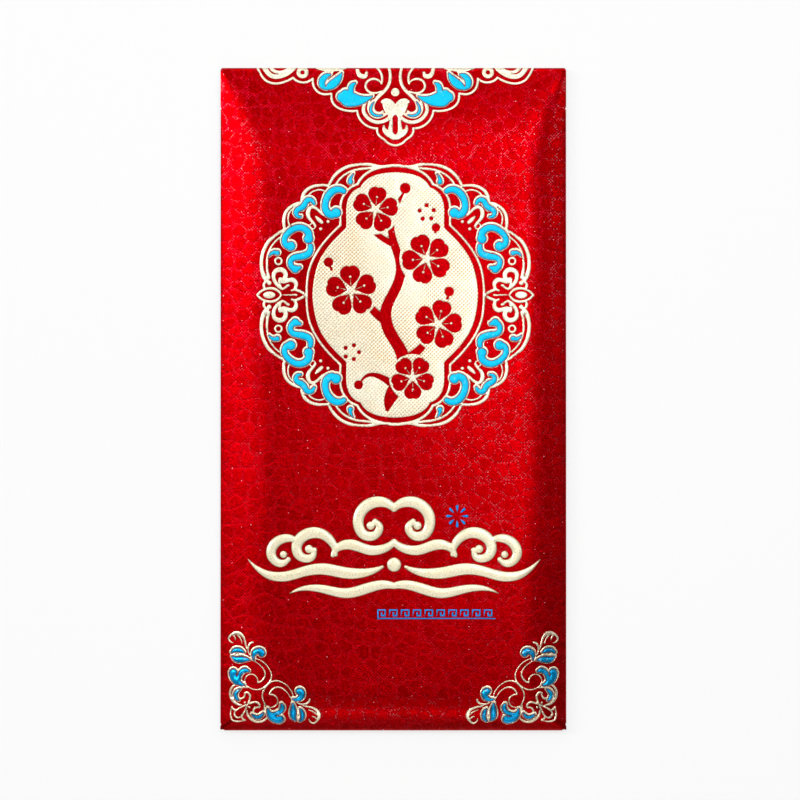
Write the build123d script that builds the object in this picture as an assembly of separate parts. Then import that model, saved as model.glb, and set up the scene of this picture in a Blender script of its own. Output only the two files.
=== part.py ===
# A red gift envelope of folded paper, with gold and blue foil stamped on it.
# It lies on its back with its front up. Units are millimetres. The origin is under the middle of the
# envelope, on the surface that it lies on. +X is to the right, +Y is to the top fold and +Z is up.

from build123d import *
import os
from math import cos, inf, radians, sin, sqrt
from typing import NamedTuple

# Envelope
ENVELOPE_WIDTH = 88.0
ENVELOPE_LENGTH = 168.7
PAPER = 0.4
FLAP_GAP = 0.15
GLUE = 0.1
SEAM_GAP = 0.2

# Puffed front panel: a steep slope and then a gentler shoulder rise from each edge to the flat middle
PUFF = 4.2
SLOPE_RISE = 2.9
SIDE_SLOPE = 5.0
SIDE_SHOULDER = 2.6
BOTTOM_SLOPE = 3.5
BOTTOM_SHOULDER = 4.0
TOP_SLOPE = 11.0
TOP_SHOULDER = 12.0

# Back panel
BACK_SIDE_INSET = 0.5
MOUTH_INSET = 8.3
BACK_CORNER_RELIEF = 0.6

# Side glue flaps and their glue
TUCK_WIDTH = 14.0
TUCK_TAPER = 9.0
TUCK_BOTTOM_INSET = 1.2
TUCK_TOP_INSET = 9.5
GLUE_WIDTH = 8.0
GLUE_SIDE_INSET = 3.0
GLUE_END_INSET = 10.0

# Closing flap
FLAP_LENGTH = 40.0
FLAP_SIDE_INSET = 0.6
FLAP_TAPER = 8.0
FLAP_CORNER = 8.0
FLAP_ROOT_CLEARANCE = 0.04

# Foil
EMBOSS = 0.22
INLAY = 0.12
CREASE_WRAP_ANGLE = 36.0
BLUE_RIM = 0.5
BLUE_DROP = 0.22
FOIL_GAP = 0.06

# Medallion. Each drop is measured from the envelope's top edge.
MEDALLION_RADIUS = 33.8
MEDALLION_X = 0.5
MEDALLION_DROP = 58.05

# Valance at the top fold
VALANCE_HALF_WIDTH = 35.6
VALANCE_X = 0.5

# Corner ornaments
CORNER_SIZE = 23.4
CORNER_SIDE_INSET = 2.5
CORNER_BOTTOM_INSET = 2.3

# Cloud band, burst and fret line in the lower part
BAND_HALF_WIDTH = 37.0
BAND_X = 0.2
BAND_DROP = 124.35
BURST_RADIUS = 2.8
BURST_X = 16.2
BURST_DROP = 114.1
BURST_RAYS = 8
FRET_LENGTH = 30.0
FRET_HEIGHT = 2.6
FRET_LINE = 0.42
FRET_X = 10.9
FRET_DROP = 138.95
FRET_KEYS = 10

# Layers of the stack, from the closed flap up to the front panel
flap_top = PAPER
back_bottom = flap_top + FLAP_GAP
back_top = back_bottom + PAPER
glue_top = back_top + GLUE
tuck_top = glue_top + PAPER
rim_bottom = tuck_top + SEAM_GAP
rim_top = rim_bottom + PAPER
plateau_top = rim_top + PUFF

# Folds: the inner radius of each is half the height that it bridges
side_inner = SEAM_GAP / 2
side_outer = side_inner + PAPER
bottom_inner = (rim_bottom - back_top) / 2
bottom_outer = bottom_inner + PAPER
bottom_z = back_top + bottom_inner
crease_inner = (rim_bottom - flap_top) / 2
crease_outer = crease_inner + PAPER
crease_z = flap_top + crease_inner

# Plan of the front panel's rim
rim_x = ENVELOPE_WIDTH / 2 - side_outer
rim_south = -ENVELOPE_LENGTH / 2 + bottom_outer
rim_north = ENVELOPE_LENGTH / 2 - crease_outer
top_edge = ENVELOPE_LENGTH / 2

# How much of a bend's radius the inner edge of a stroke may fill
bend_room_share = 0.8

# Medallion, upper left quarter, as shares of its radius from its centre
ground_shares = [
    [(0.0, 0.921), (-0.105, 0.911), (-0.205, 0.873), (-0.262, 0.807)],
    [(-0.262, 0.807), (-0.322, 0.772), (-0.356, 0.715), (-0.369, 0.64), (-0.369, 0.505)],
    [(-0.369, 0.505), (-0.474, 0.398), (-0.559, 0.28), (-0.604, 0.15), (-0.622, 0.0)],
]
rim_stroke_shares = [
    [(0.01, 0.968, 0.011), (-0.11, 0.956, 0.011), (-0.208, 0.916, 0.011), (-0.25, 0.88, 0.011),
     (-0.283, 0.83, 0.011)],
    [(-0.283, 0.83, 0.011), (-0.365, 0.776, 0.01), (-0.402, 0.711, 0.01), (-0.412, 0.62, 0.01),
     (-0.412, 0.522, 0.01)],
    [(-0.412, 0.522, 0.01), (-0.528, 0.402, 0.01), (-0.598, 0.302, 0.01), (-0.646, 0.189, 0.01),
     (-0.663, 0.076, 0.01), (-0.665, -0.01, 0.01)],
]
scallop_stroke_shares = [
    [(0.01, 0.97, 0.011), (-0.05, 0.968, 0.011), (-0.113, 0.962, 0.012), (-0.165, 0.974, 0.012),
     (-0.23, 0.98, 0.012), (-0.295, 0.976, 0.012), (-0.356, 0.962, 0.013), (-0.408, 0.936, 0.013),
     (-0.449, 0.901, 0.013), (-0.478, 0.862, 0.012), (-0.5, 0.822, 0.011)],
    [(-0.443, 0.832, 0.009), (-0.413, 0.872, 0.009), (-0.373, 0.905, 0.009), (-0.321, 0.93, 0.01),
     (-0.269, 0.943, 0.01), (-0.208, 0.949, 0.01), (-0.15, 0.96, 0.01)],
    [(-0.5, 0.818, 0.011), (-0.558, 0.823, 0.011), (-0.615, 0.814, 0.012), (-0.658, 0.792, 0.013),
     (-0.685, 0.762, 0.014), (-0.697, 0.73, 0.013), (-0.702, 0.695, 0.011)],
    [(-0.528, 0.778, 0.007), (-0.572, 0.788, 0.007), (-0.613, 0.778, 0.007), (-0.64, 0.758, 0.008),
     (-0.65, 0.738, 0.008)],
    [(-0.7, 0.693, 0.011), (-0.746, 0.682, 0.012), (-0.789, 0.658, 0.012), (-0.82, 0.622, 0.013),
     (-0.834, 0.58, 0.013), (-0.836, 0.536, 0.013), (-0.83, 0.495, 0.011)],
    [(-0.76, 0.65, 0.006), (-0.789, 0.624, 0.007), (-0.803, 0.588, 0.007), (-0.802, 0.549, 0.007),
     (-0.789, 0.51, 0.007)],
    [(-0.83, 0.492, 0.011), (-0.876, 0.463, 0.012), (-0.918, 0.432, 0.013), (-0.948, 0.404, 0.014),
     (-0.973, 0.365, 0.014), (-0.993, 0.318, 0.014), (-1.003, 0.267, 0.014), (-1.004, 0.215, 0.014),
     (-0.996, 0.17, 0.016), (-0.978, 0.128, 0.018), (-0.956, 0.1, 0.014)],
    [(-0.846, 0.443, 0.008), (-0.888, 0.412, 0.008), (-0.922, 0.374, 0.008), (-0.946, 0.328, 0.009),
     (-0.96, 0.275, 0.009), (-0.963, 0.222, 0.01), (-0.958, 0.17, 0.012), (-0.95, 0.13, 0.014)],
]
scroll_stroke_shares = [
    [(-0.535, 0.601, 0.012), (-0.567, 0.626, 0.011), (-0.598, 0.652, 0.012), (-0.63, 0.658, 0.013),
     (-0.65, 0.634, 0.016), (-0.654, 0.6, 0.016), (-0.638, 0.566, 0.013), (-0.614, 0.54, 0.011),
     (-0.6, 0.516, 0.01)],
    [(-0.596, 0.587, 0.007), (-0.574, 0.565, 0.015), (-0.551, 0.544, 0.013)],
    [(-0.85, 0.046, 0.01), (-0.893, 0.085, 0.014), (-0.912, 0.13, 0.015), (-0.905, 0.17, 0.017),
     (-0.875, 0.189, 0.019), (-0.842, 0.184, 0.019), (-0.823, 0.158, 0.018), (-0.83, 0.125, 0.02)],
    [(-0.862, 0.122, 0.012), (-0.846, 0.108, 0.022), (-0.812, 0.108, 0.018), (-0.775, 0.114, 0.018),
     (-0.747, 0.093, 0.017), (-0.746, 0.06, 0.013), (-0.775, 0.034, 0.009)],
    [(-0.866, 0.118, 0.012), (-0.866, 0.08, 0.01), (-0.848, 0.046, 0.011), (-0.825, 0.056, 0.01),
     (-0.8, 0.072, 0.01)],
    [(-1.034, 0.0, 0.01), (-0.975, 0.044, 0.01), (-0.908, 0.046, 0.011), (-0.856, 0.0, 0.008)],
    [(-0.975, 0.044, 0.01), (-0.986, 0.075, 0.011), (-0.972, 0.1, 0.01)],
    [(-0.748, 0.041, 0.012), (-0.712, 0.026, 0.011), (-0.668, 0.0, 0.01)],
    [(-0.842, 0.0, 0.004), (-0.79, 0.0, 0.008), (-0.742, 0.0, 0.009)],
]
scroll_dot_shares = [(-0.504, 0.55, 0.013), (-0.559, 0.495, 0.013), (-0.945, 0.09, 0.018)]
scroll_ring_shares = [(-0.876, 0.254, 0.033, 0.016), (-0.62, 0.515, 0.027, 0.015)]
rosette_shares = (-0.945, 0.047, 0.027)
blue_scroll_shares = [
    [(-0.314, 0.913, 0.003), (-0.329, 0.89, 0.008), (-0.337, 0.866, 0.014)],
    [(-0.386, 0.784, 0.019), (-0.417, 0.797, 0.023), (-0.452, 0.793, 0.025), (-0.486, 0.77, 0.026),
     (-0.511, 0.735, 0.025), (-0.523, 0.697, 0.024), (-0.524, 0.657, 0.025), (-0.507, 0.622, 0.027),
     (-0.475, 0.607, 0.028)],
    [(-0.608, 0.69, 0.01), (-0.62, 0.71, 0.015), (-0.641, 0.72, 0.018), (-0.663, 0.712, 0.02),
     (-0.678, 0.687, 0.021), (-0.7, 0.662, 0.021), (-0.727, 0.648, 0.02), (-0.744, 0.625, 0.018),
     (-0.736, 0.601, 0.014), (-0.71, 0.592, 0.009)],
    [(-0.648, 0.44, 0.026), (-0.653, 0.474, 0.026), (-0.679, 0.5, 0.025), (-0.715, 0.511, 0.024),
     (-0.752, 0.505, 0.023), (-0.788, 0.484, 0.022), (-0.817, 0.455, 0.021), (-0.831, 0.42, 0.021),
     (-0.823, 0.387, 0.022), (-0.8, 0.372, 0.024)],
    [(-0.636, 0.374, 0.018), (-0.635, 0.346, 0.021), (-0.649, 0.318, 0.024), (-0.68, 0.302, 0.025),
     (-0.72, 0.293, 0.024), (-0.756, 0.286, 0.022), (-0.782, 0.264, 0.02), (-0.784, 0.236, 0.02),
     (-0.768, 0.211, 0.022)],
    [(-0.748, 0.2, 0.022), (-0.716, 0.211, 0.013)],
    [(-0.946, 0.298, 0.004), (-0.928, 0.317, 0.01), (-0.905, 0.325, 0.015)],
]
blue_ball_shares = [
    (-0.336, 0.853, 0.0175), (-0.443, 0.622, 0.036), (-0.65, 0.427, 0.034),
    (-0.783, 0.372, 0.034), (-0.75, 0.2, 0.028), (-0.884, 0.321, 0.018),
]

# Plum spray that is left open in the medallion's gold ground, in the same shares
branch_shares = [
    [(-0.06, -0.86, 0.012), (-0.03, -0.76, 0.046), (0.05, -0.6, 0.05), (0.05, -0.44, 0.045),
     (-0.04, -0.28, 0.042), (-0.07, -0.12, 0.04), (0.0, 0.04, 0.036), (0.04, 0.2, 0.032),
     (0.0, 0.36, 0.028), (-0.03, 0.5, 0.022), (0.0, 0.64, 0.016), (0.06, 0.76, 0.006)],
    [(0.05, -0.5, 0.034), (0.17, -0.42, 0.028), (0.27, -0.3, 0.022), (0.35, -0.14, 0.016),
     (0.4, 0.0, 0.006)],
    [(-0.06, -0.2, 0.03), (-0.18, -0.1, 0.026), (-0.28, 0.02, 0.02), (-0.42, 0.12, 0.013),
     (-0.49, 0.22, 0.006)],
    [(0.03, 0.14, 0.026), (0.15, 0.22, 0.022), (0.27, 0.34, 0.016), (0.3, 0.48, 0.006)],
    [(-0.01, 0.38, 0.022), (-0.13, 0.45, 0.018), (-0.22, 0.54, 0.012), (-0.29, 0.64, 0.006)],
    [(0.02, -0.7, 0.026), (-0.1, -0.62, 0.02), (-0.19, -0.6, 0.012), (-0.26, -0.66, 0.005)],
]
bud_shares = [
    (0.075, 0.8, 0.038), (0.405, 0.025, 0.034), (-0.5, 0.245, 0.034),
    (-0.275, -0.675, 0.032), (0.305, 0.505, 0.03),
]
blossom_shares = [
    (-0.15, 0.64, 0.175, 10.0), (0.235, 0.27, 0.19, 40.0), (-0.33, 0.03, 0.195, 22.0),
    (0.32, -0.22, 0.185, 4.0), (0.13, -0.62, 0.165, 55.0),
]
petal_shares = [(0.15, 0.0), (0.38, 0.225), (0.62, 0.375), (0.84, 0.33), (0.96, 0.13), (0.92, 0.0)]
stamen_shares = [(0.08, 0.02), (0.3, 0.016), (0.5, 0.02)]
stamen_tip_shares = (0.54, 0.055)
halo_share = 1.08
mark_shares = [(0.237, 0.617, 20.0), (-0.327, -0.43, 0.0)]
mark_dot_shares = (0.055, 0.014)
PETALS = 5

# Valance, left half, as shares of its half width from the middle of the top fold
valance_edge_shares = [
    [(-1.0, 0.02, 0.009), (-0.968, -0.037, 0.009), (-0.946, -0.073, 0.009), (-0.92, -0.098, 0.009),
     (-0.885, -0.113, 0.009), (-0.845, -0.117, 0.009), (-0.798, -0.107, 0.009), (-0.757, -0.09, 0.009),
     (-0.73, -0.074, 0.009)],
    [(-0.73, -0.074, 0.009), (-0.707, -0.095, 0.009), (-0.68, -0.106, 0.009), (-0.646, -0.109, 0.009),
     (-0.615, -0.099, 0.009), (-0.59, -0.082, 0.009)],
    [(-0.59, -0.082, 0.009), (-0.588, -0.115, 0.009), (-0.576, -0.15, 0.009), (-0.554, -0.176, 0.009),
     (-0.524, -0.192, 0.009), (-0.49, -0.195, 0.009), (-0.457, -0.191, 0.009)],
    [(-0.457, -0.191, 0.009), (-0.455, -0.222, 0.009), (-0.447, -0.252, 0.009), (-0.424, -0.282, 0.009),
     (-0.385, -0.304, 0.009), (-0.341, -0.315, 0.009), (-0.272, -0.315, 0.009)],
    [(-0.272, -0.315, 0.009), (-0.266, -0.344, 0.009), (-0.25, -0.378, 0.009), (-0.22, -0.411, 0.009),
     (-0.18, -0.434, 0.009), (-0.128, -0.443, 0.009)],
    [(-0.128, -0.443, 0.009), (-0.126, -0.474, 0.009), (-0.11, -0.5, 0.009), (-0.08, -0.522, 0.009),
     (-0.054, -0.546, 0.009), (-0.028, -0.56, 0.009), (0.01, -0.564, 0.009)],
]
valance_scroll_shares = [
    [(-0.062, 0.03, 0.011), (-0.038, -0.035, 0.011), (-0.037, -0.087, 0.012), (-0.051, -0.135, 0.012),
     (-0.08, -0.174, 0.013), (-0.114, -0.206, 0.014), (-0.143, -0.242, 0.012), (-0.155, -0.278, 0.009),
     (-0.151, -0.308, 0.008), (-0.128, -0.328, 0.008), (-0.092, -0.322, 0.012)],
    [(-0.15, 0.02, 0.009), (-0.115, -0.02, 0.009), (-0.097, -0.055, 0.009), (-0.094, -0.087, 0.009),
     (-0.099, -0.117, 0.008)],
    [(-0.1, -0.113, 0.006), (-0.124, -0.091, 0.008), (-0.159, -0.083, 0.009), (-0.193, -0.096, 0.009),
     (-0.212, -0.13, 0.009), (-0.201, -0.164, 0.009), (-0.175, -0.183, 0.009), (-0.137, -0.186, 0.008),
     (-0.1, -0.173, 0.006)],
    [(-0.268, 0.02, 0.013), (-0.266, -0.034, 0.015), (-0.248, -0.06, 0.018), (-0.219, -0.064, 0.017),
     (-0.206, -0.04, 0.012)],
    [(-0.206, -0.25, 0.007), (-0.225, -0.285, 0.013), (-0.225, -0.32, 0.014), (-0.205, -0.357, 0.014),
     (-0.165, -0.388, 0.014), (-0.115, -0.398, 0.014), (-0.07, -0.385, 0.014), (-0.03, -0.352, 0.018)],
    [(-0.182, -0.242, 0.006), (-0.193, -0.278, 0.008), (-0.19, -0.317, 0.008), (-0.172, -0.347, 0.008),
     (-0.137, -0.365, 0.008), (-0.1, -0.358, 0.01), (-0.067, -0.338, 0.012)],
    [(-0.035, -0.36, 0.014), (-0.03, -0.4, 0.013), (-0.035, -0.45, 0.017), (-0.03, -0.49, 0.022),
     (0.01, -0.505, 0.021)],
    [(-0.081, -0.424, 0.007), (-0.078, -0.45, 0.015), (-0.06, -0.472, 0.022), (-0.03, -0.49, 0.024)],
    [(-0.95, 0.02, 0.016), (-0.913, -0.035, 0.018), (-0.88, -0.062, 0.018), (-0.84, -0.066, 0.018),
     (-0.795, -0.053, 0.019), (-0.755, -0.03, 0.018), (-0.72, 0.005, 0.016)],
    [(-0.89, 0.0, 0.014), (-0.865, -0.026, 0.013), (-0.82, -0.034, 0.012), (-0.775, -0.018, 0.012),
     (-0.75, 0.01, 0.012)],
    [(-0.6, 0.015, 0.008), (-0.55, -0.004, 0.011), (-0.49, -0.016, 0.015), (-0.43, -0.014, 0.015),
     (-0.37, -0.004, 0.013), (-0.33, 0.015, 0.009)],
    [(-0.449, -0.03, 0.01), (-0.478, -0.066, 0.011), (-0.497, -0.1, 0.01), (-0.5, -0.136, 0.005)],
    [(-0.09, -0.25, 0.014), (-0.076, -0.244, 0.018), (-0.05, -0.248, 0.022), (-0.022, -0.285, 0.028),
     (-0.012, -0.33, 0.02)],
    [(-0.07, -0.27, 0.022), (-0.05, -0.3, 0.032), (-0.03, -0.33, 0.03)],
]
valance_dot_shares = [(0.0, -0.18, 0.031)]
valance_ring_shares = [(-0.663, -0.036, 0.044, 0.014)]
valance_leaf_shares = [
    [(-0.466, -0.045, 0.007), (-0.5, -0.06, 0.019), (-0.523, -0.094, 0.022), (-0.52, -0.126, 0.02),
     (-0.502, -0.146, 0.01)],
    [(-0.383, -0.036, 0.005), (-0.402, -0.07, 0.02), (-0.432, -0.104, 0.029), (-0.466, -0.13, 0.026),
     (-0.492, -0.148, 0.01)],
    [(-0.378, -0.21, 0.036), (-0.34, -0.22, 0.056), (-0.295, -0.23, 0.048), (-0.245, -0.232, 0.032),
     (-0.2, -0.221, 0.017), (-0.164, -0.204, 0.004)],
    [(-0.286, -0.108, 0.006), (-0.306, -0.122, 0.016), (-0.317, -0.15, 0.019), (-0.318, -0.185, 0.021)],
    [(-0.152, -0.246, 0.003), (-0.17, -0.275, 0.007), (-0.174, -0.306, 0.009), (-0.158, -0.333, 0.009),
     (-0.13, -0.345, 0.008), (-0.094, -0.34, 0.005)],
]
valance_leaf_dot_shares = [(-0.357, -0.187, 0.03)]

# Corner ornament, the arm along the side, as shares of its size from its outer corner.
# The arm along the bottom is its mirror image about the diagonal.
corner_scroll_shares = [
    [(0.19, 0.796, 0.008), (0.175, 0.835, 0.01), (0.163, 0.89, 0.012), (0.138, 0.938, 0.016),
     (0.098, 0.966, 0.021), (0.05, 0.964, 0.019), (0.01, 0.94, 0.013), (-0.012, 0.905, 0.011),
     (0.006, 0.872, 0.009), (0.034, 0.86, 0.007)],
    [(0.085, 0.945, 0.01), (0.12, 0.9, 0.008), (0.137, 0.855, 0.006)],
    [(0.025, 0.948, 0.008), (0.053, 0.925, 0.009), (0.062, 0.893, 0.006)],
    [(0.252, 0.868, 0.012), (0.22, 0.852, 0.013), (0.203, 0.815, 0.011), (0.203, 0.765, 0.009),
     (0.222, 0.728, 0.007)],
    [(0.02, 0.736, 0.015), (0.08, 0.735, 0.011), (0.15, 0.743, 0.007)],
    [(0.265, 0.695, 0.007), (0.345, 0.668, 0.008), (0.402, 0.622, 0.008), (0.44, 0.565, 0.008),
     (0.455, 0.505, 0.009), (0.441, 0.45, 0.011), (0.405, 0.405, 0.013), (0.36, 0.375, 0.01),
     (0.305, 0.357, 0.009), (0.25, 0.362, 0.008), (0.205, 0.383, 0.008), (0.16, 0.415, 0.008)],
    [(0.215, 0.684, 0.008), (0.3, 0.645, 0.007), (0.35, 0.603, 0.008), (0.38, 0.555, 0.009),
     (0.385, 0.51, 0.01), (0.365, 0.47, 0.011), (0.335, 0.445, 0.01), (0.31, 0.436, 0.012)],
    [(0.306, 0.44, 0.008), (0.29, 0.495, 0.009), (0.255, 0.52, 0.008), (0.215, 0.52, 0.008),
     (0.18, 0.495, 0.008), (0.165, 0.455, 0.007), (0.165, 0.42, 0.007)],
    [(0.105, 0.42, 0.008), (0.05, 0.402, 0.011), (0.016, 0.365, 0.013), (0.003, 0.315, 0.014),
     (0.013, 0.265, 0.015), (0.044, 0.222, 0.016), (0.085, 0.195, 0.014), (0.125, 0.188, 0.01)],
    [(0.11, 0.372, 0.009), (0.15, 0.378, 0.009), (0.215, 0.377, 0.008)],
    [(0.085, 0.29, 0.01), (0.1, 0.265, 0.012), (0.13, 0.258, 0.012), (0.157, 0.277, 0.011),
     (0.163, 0.32, 0.009)],
    [(0.163, 0.318, 0.009), (0.186, 0.327, 0.012), (0.21, 0.311, 0.013), (0.222, 0.28, 0.012),
     (0.216, 0.246, 0.012), (0.205, 0.205, 0.012)],
    [(0.195, 0.195, 0.01), (0.14, 0.172, 0.011), (0.09, 0.145, 0.01), (0.055, 0.11, 0.009),
     (0.05, 0.075, 0.009), (0.078, 0.058, 0.009)],
    [(0.022, 0.164, 0.012), (0.045, 0.136, 0.012), (0.075, 0.13, 0.009)],
    [(0.018, 0.16, 0.007), (0.008, 0.1, 0.009), (0.013, 0.05, 0.011), (0.024, 0.024, 0.01)],
]
corner_dot_shares = [(0.165, 0.215, 0.013)]
corner_leaf_shares = [
    [(0.022, 0.762, 0.01), (0.05, 0.785, 0.02), (0.09, 0.791, 0.023), (0.13, 0.78, 0.018),
     (0.156, 0.765, 0.006)],
    [(0.03, 0.715, 0.01), (0.06, 0.693, 0.026), (0.11, 0.688, 0.034), (0.165, 0.69, 0.026),
     (0.216, 0.684, 0.005)],
    [(0.262, 0.69, 0.008), (0.258, 0.728, 0.017), (0.274, 0.766, 0.027), (0.31, 0.783, 0.032),
     (0.344, 0.772, 0.034)],
    [(0.028, 0.535, 0.034), (0.044, 0.486, 0.037), (0.08, 0.446, 0.033), (0.12, 0.422, 0.02),
     (0.158, 0.413, 0.005)],
    [(0.092, 0.47, 0.024), (0.106, 0.52, 0.022), (0.134, 0.558, 0.024), (0.17, 0.573, 0.024),
     (0.206, 0.563, 0.01)],
    [(0.112, 0.365, 0.005), (0.082, 0.345, 0.016), (0.062, 0.31, 0.019), (0.068, 0.275, 0.017),
     (0.096, 0.243, 0.005)],
]
corner_leaf_dot_shares = [(0.348, 0.758, 0.036), (0.038, 0.548, 0.038)]

# Cloud band, right half, as shares of its half width from its centre
cloud_stroke_shares = [
    [(0.0, 0.33, 0.026), (0.07, 0.372, 0.036), (0.155, 0.366, 0.041), (0.225, 0.31, 0.041),
     (0.245, 0.225, 0.038), (0.205, 0.15, 0.036), (0.135, 0.145, 0.032), (0.1, 0.195, 0.029),
     (0.13, 0.24, 0.022)],
    [(0.0, 0.1, 0.024), (0.07, 0.055, 0.031), (0.17, 0.045, 0.036), (0.28, 0.08, 0.038),
     (0.37, 0.07, 0.031), (0.42, 0.01, 0.017)],
    [(0.4, 0.015, 0.017), (0.43, 0.105, 0.031), (0.51, 0.16, 0.038), (0.605, 0.15, 0.041),
     (0.665, 0.08, 0.038), (0.645, 0.005, 0.034), (0.575, -0.01, 0.028), (0.545, 0.045, 0.02)],
    [(0.665, 0.11, 0.017), (0.745, 0.125, 0.031), (0.82, 0.085, 0.036), (0.84, 0.01, 0.034),
     (0.785, -0.045, 0.029), (0.725, -0.02, 0.02)],
    [(0.08, -0.07, 0.012), (0.2, -0.11, 0.031), (0.34, -0.11, 0.041), (0.48, -0.085, 0.041),
     (0.61, -0.1, 0.037), (0.74, -0.135, 0.036), (0.86, -0.125, 0.029), (0.95, -0.07, 0.014),
     (1.0, -0.02, 0.004)],
    [(0.0, -0.2, 0.024), (0.1, -0.195, 0.034), (0.21, -0.225, 0.038), (0.33, -0.25, 0.036),
     (0.47, -0.225, 0.031), (0.6, -0.215, 0.02), (0.71, -0.25, 0.005)],
]
cloud_dot_shares = [(0.0, -0.055, 0.05), (0.16, 0.212, 0.03), (0.582, 0.052, 0.03), (0.757, 0.015, 0.026)]

# One ray of the burst as shares of its radius, and one key of the fret as shares of its height
ray_shares = [(0.42, 0.04), (0.7, 0.11), (0.9, 0.13)]
key_shares = [((0.0, 0.0), (0.0, 1.0)), ((0.0, 1.0), (0.84, 1.0)), ((0.84, 1.0), (0.84, 0.34)),
              ((0.84, 0.34), (0.42, 0.34)), ((0.42, 0.34), (0.42, 0.66))]


class Plot(NamedTuple):
    """Where an ornament is drawn: its origin, the length of its unit and how it is mirrored."""

    x: float
    y: float
    unit: float
    flip_x: int = 1
    flip_y: int = 1
    swapped: bool = False

    def at(self, u, v):
        """Give the point of a pair of shares."""
        if self.swapped:
            u, v = v, u
        return Vector(self.x + self.flip_x * u * self.unit, self.y + self.flip_y * v * self.unit)


def block(x_low, x_high, y_low, y_high, z_low, z_high):
    """Make a straight block between two corners."""
    corner = (Align.MIN, Align.MIN, Align.MIN)
    return Pos(x_low, y_low, z_low) * Box(x_high - x_low, y_high - y_low, z_high - z_low, align=corner)


def plate(points, z_low, thickness):
    """Make a flat sheet from the corners of its outline."""
    return Pos(0, 0, z_low) * extrude(make_face(Polyline(*points, close=True)), thickness, dir=(0, 0, 1))


def fold_along_x(length, inner, outer, y, z, outward):
    """Make a half round fold that runs along X and bulges to +Y or -Y."""
    tube = Rot(0, 90, 0) * (Cylinder(outer, length) - Cylinder(inner, length))
    low, high = sorted((0, outward * 2 * outer))
    half = block(-length, length, low, high, -2 * outer, 2 * outer)
    return Pos(0, y, z) * (tube & half)


def fold_along_y(y_low, y_high, inner, outer, x, z, outward):
    """Make a half round fold that runs along Y and bulges to +X or -X."""
    length = y_high - y_low
    tube = Rot(90, 0, 0) * (Cylinder(outer, length) - Cylinder(inner, length))
    low, high = sorted((0, outward * 2 * outer))
    half = block(low, high, -length, length, -2 * outer, 2 * outer)
    return Pos(x, (y_low + y_high) / 2, z) * (tube & half)


def rim_ring(side, south, north, z):
    """Make the rectangle of one level of the front panel, set in from its rim."""
    width = 2 * (rim_x - side)
    length = rim_north - north - rim_south - south
    return Pos(0, rim_south + south + length / 2, z) * Rectangle(width, length)


def flat_middle(z):
    """Make the rectangle of the front panel's flat middle at a height."""
    return rim_ring(SIDE_SLOPE + SIDE_SHOULDER, BOTTOM_SLOPE + BOTTOM_SHOULDER, TOP_SLOPE + TOP_SHOULDER, z)


def front_block():
    """Make the front panel's outer form as a full block: its rim, slopes, shoulders and flat middle."""
    base = rim_ring(0, 0, 0, rim_top)
    slope = rim_ring(SIDE_SLOPE, BOTTOM_SLOPE, TOP_SLOPE, rim_top + SLOPE_RISE)
    rim = extrude(rim_ring(0, 0, 0, rim_bottom), PAPER, dir=(0, 0, 1))
    return rim + loft([base, slope, flat_middle(plateau_top)], ruled=True)


def foil_skin(form):
    """Make the layer that the front's foil fills, over the panel and a part of the top crease."""
    over_panel = Pos(0, 0, EMBOSS) * form - form
    wrap = Rot(0, 90, 0) * (Cylinder(crease_outer + EMBOSS, 2 * rim_x) - Cylinder(crease_outer, 2 * rim_x))
    reach = 2 * crease_outer
    angle = radians(CREASE_WRAP_ANGLE)
    far_corner = (0, reach * sin(angle), reach * cos(angle))
    wedge = make_face(Polyline((0, 0, 0), (0, 0, reach), far_corner, close=True))
    over_crease = wrap & extrude(wedge, rim_x, dir=(1, 0, 0), both=True)
    return over_panel + Pos(0, rim_north, crease_z) * over_crease


def closing_flap_outline():
    """Draw the closing flap as it lies folded behind the envelope."""
    root_y = rim_north - sqrt(crease_outer**2 - crease_inner**2) - FLAP_ROOT_CLEARANCE
    root_x = rim_x - FLAP_SIDE_INSET
    tip_y = rim_north - FLAP_LENGTH
    tip_x = root_x - FLAP_TAPER
    corners = [(-root_x, root_y), (root_x, root_y), (tip_x, tip_y), (-tip_x, tip_y)]
    outline = make_face(Polyline(*corners, close=True))
    return fillet(outline.vertices().group_by(Axis.Y)[0], FLAP_CORNER)


def side_glue_flap(side):
    """Make the glue flap that is tucked in along one side, with slanted ends."""
    outer_x = side * rim_x
    inner_x = side * (rim_x - TUCK_WIDTH)
    south = rim_south + TUCK_BOTTOM_INSET
    north = rim_north - TUCK_TOP_INSET
    outer_corners = [(outer_x, south), (outer_x, north)]
    inner_corners = [(inner_x, north - TUCK_TAPER), (inner_x, south + TUCK_TAPER)]
    return plate(outer_corners + inner_corners, glue_top, PAPER)


def glue_line(side):
    """Make the glue between one side glue flap and the back panel."""
    edges = sorted((side * (rim_x - GLUE_SIDE_INSET), side * (rim_x - GLUE_SIDE_INSET - GLUE_WIDTH)))
    south = rim_south + TUCK_BOTTOM_INSET + GLUE_END_INSET
    north = rim_north - TUCK_TOP_INSET - GLUE_END_INSET
    return block(edges[0], edges[1], south, north, back_top, glue_top)


def side_fold(side):
    """Make the fold between the front panel and one side glue flap."""
    south = rim_south + TUCK_BOTTOM_INSET
    north = rim_north - TUCK_TOP_INSET
    return fold_along_y(south, north, side_inner, side_outer, side * rim_x, tuck_top + side_inner, side)


def facing_up(face):
    """Turn a flat face over if it faces down, so that faces can be joined."""
    return face if face.normal_at().Z > 0 else -face


def bend_room(before, centre, after):
    """Give how far the left and the right edge of a stroke may stand off its centre line at a bend."""
    turn = (centre - before).cross(after - centre).Z
    if turn == 0:
        return inf, inf
    sides = (centre - before).length * (after - centre).length * (after - before).length
    room = bend_room_share * sides / (2 * abs(turn))
    return (room, inf) if turn > 0 else (inf, room)


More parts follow.
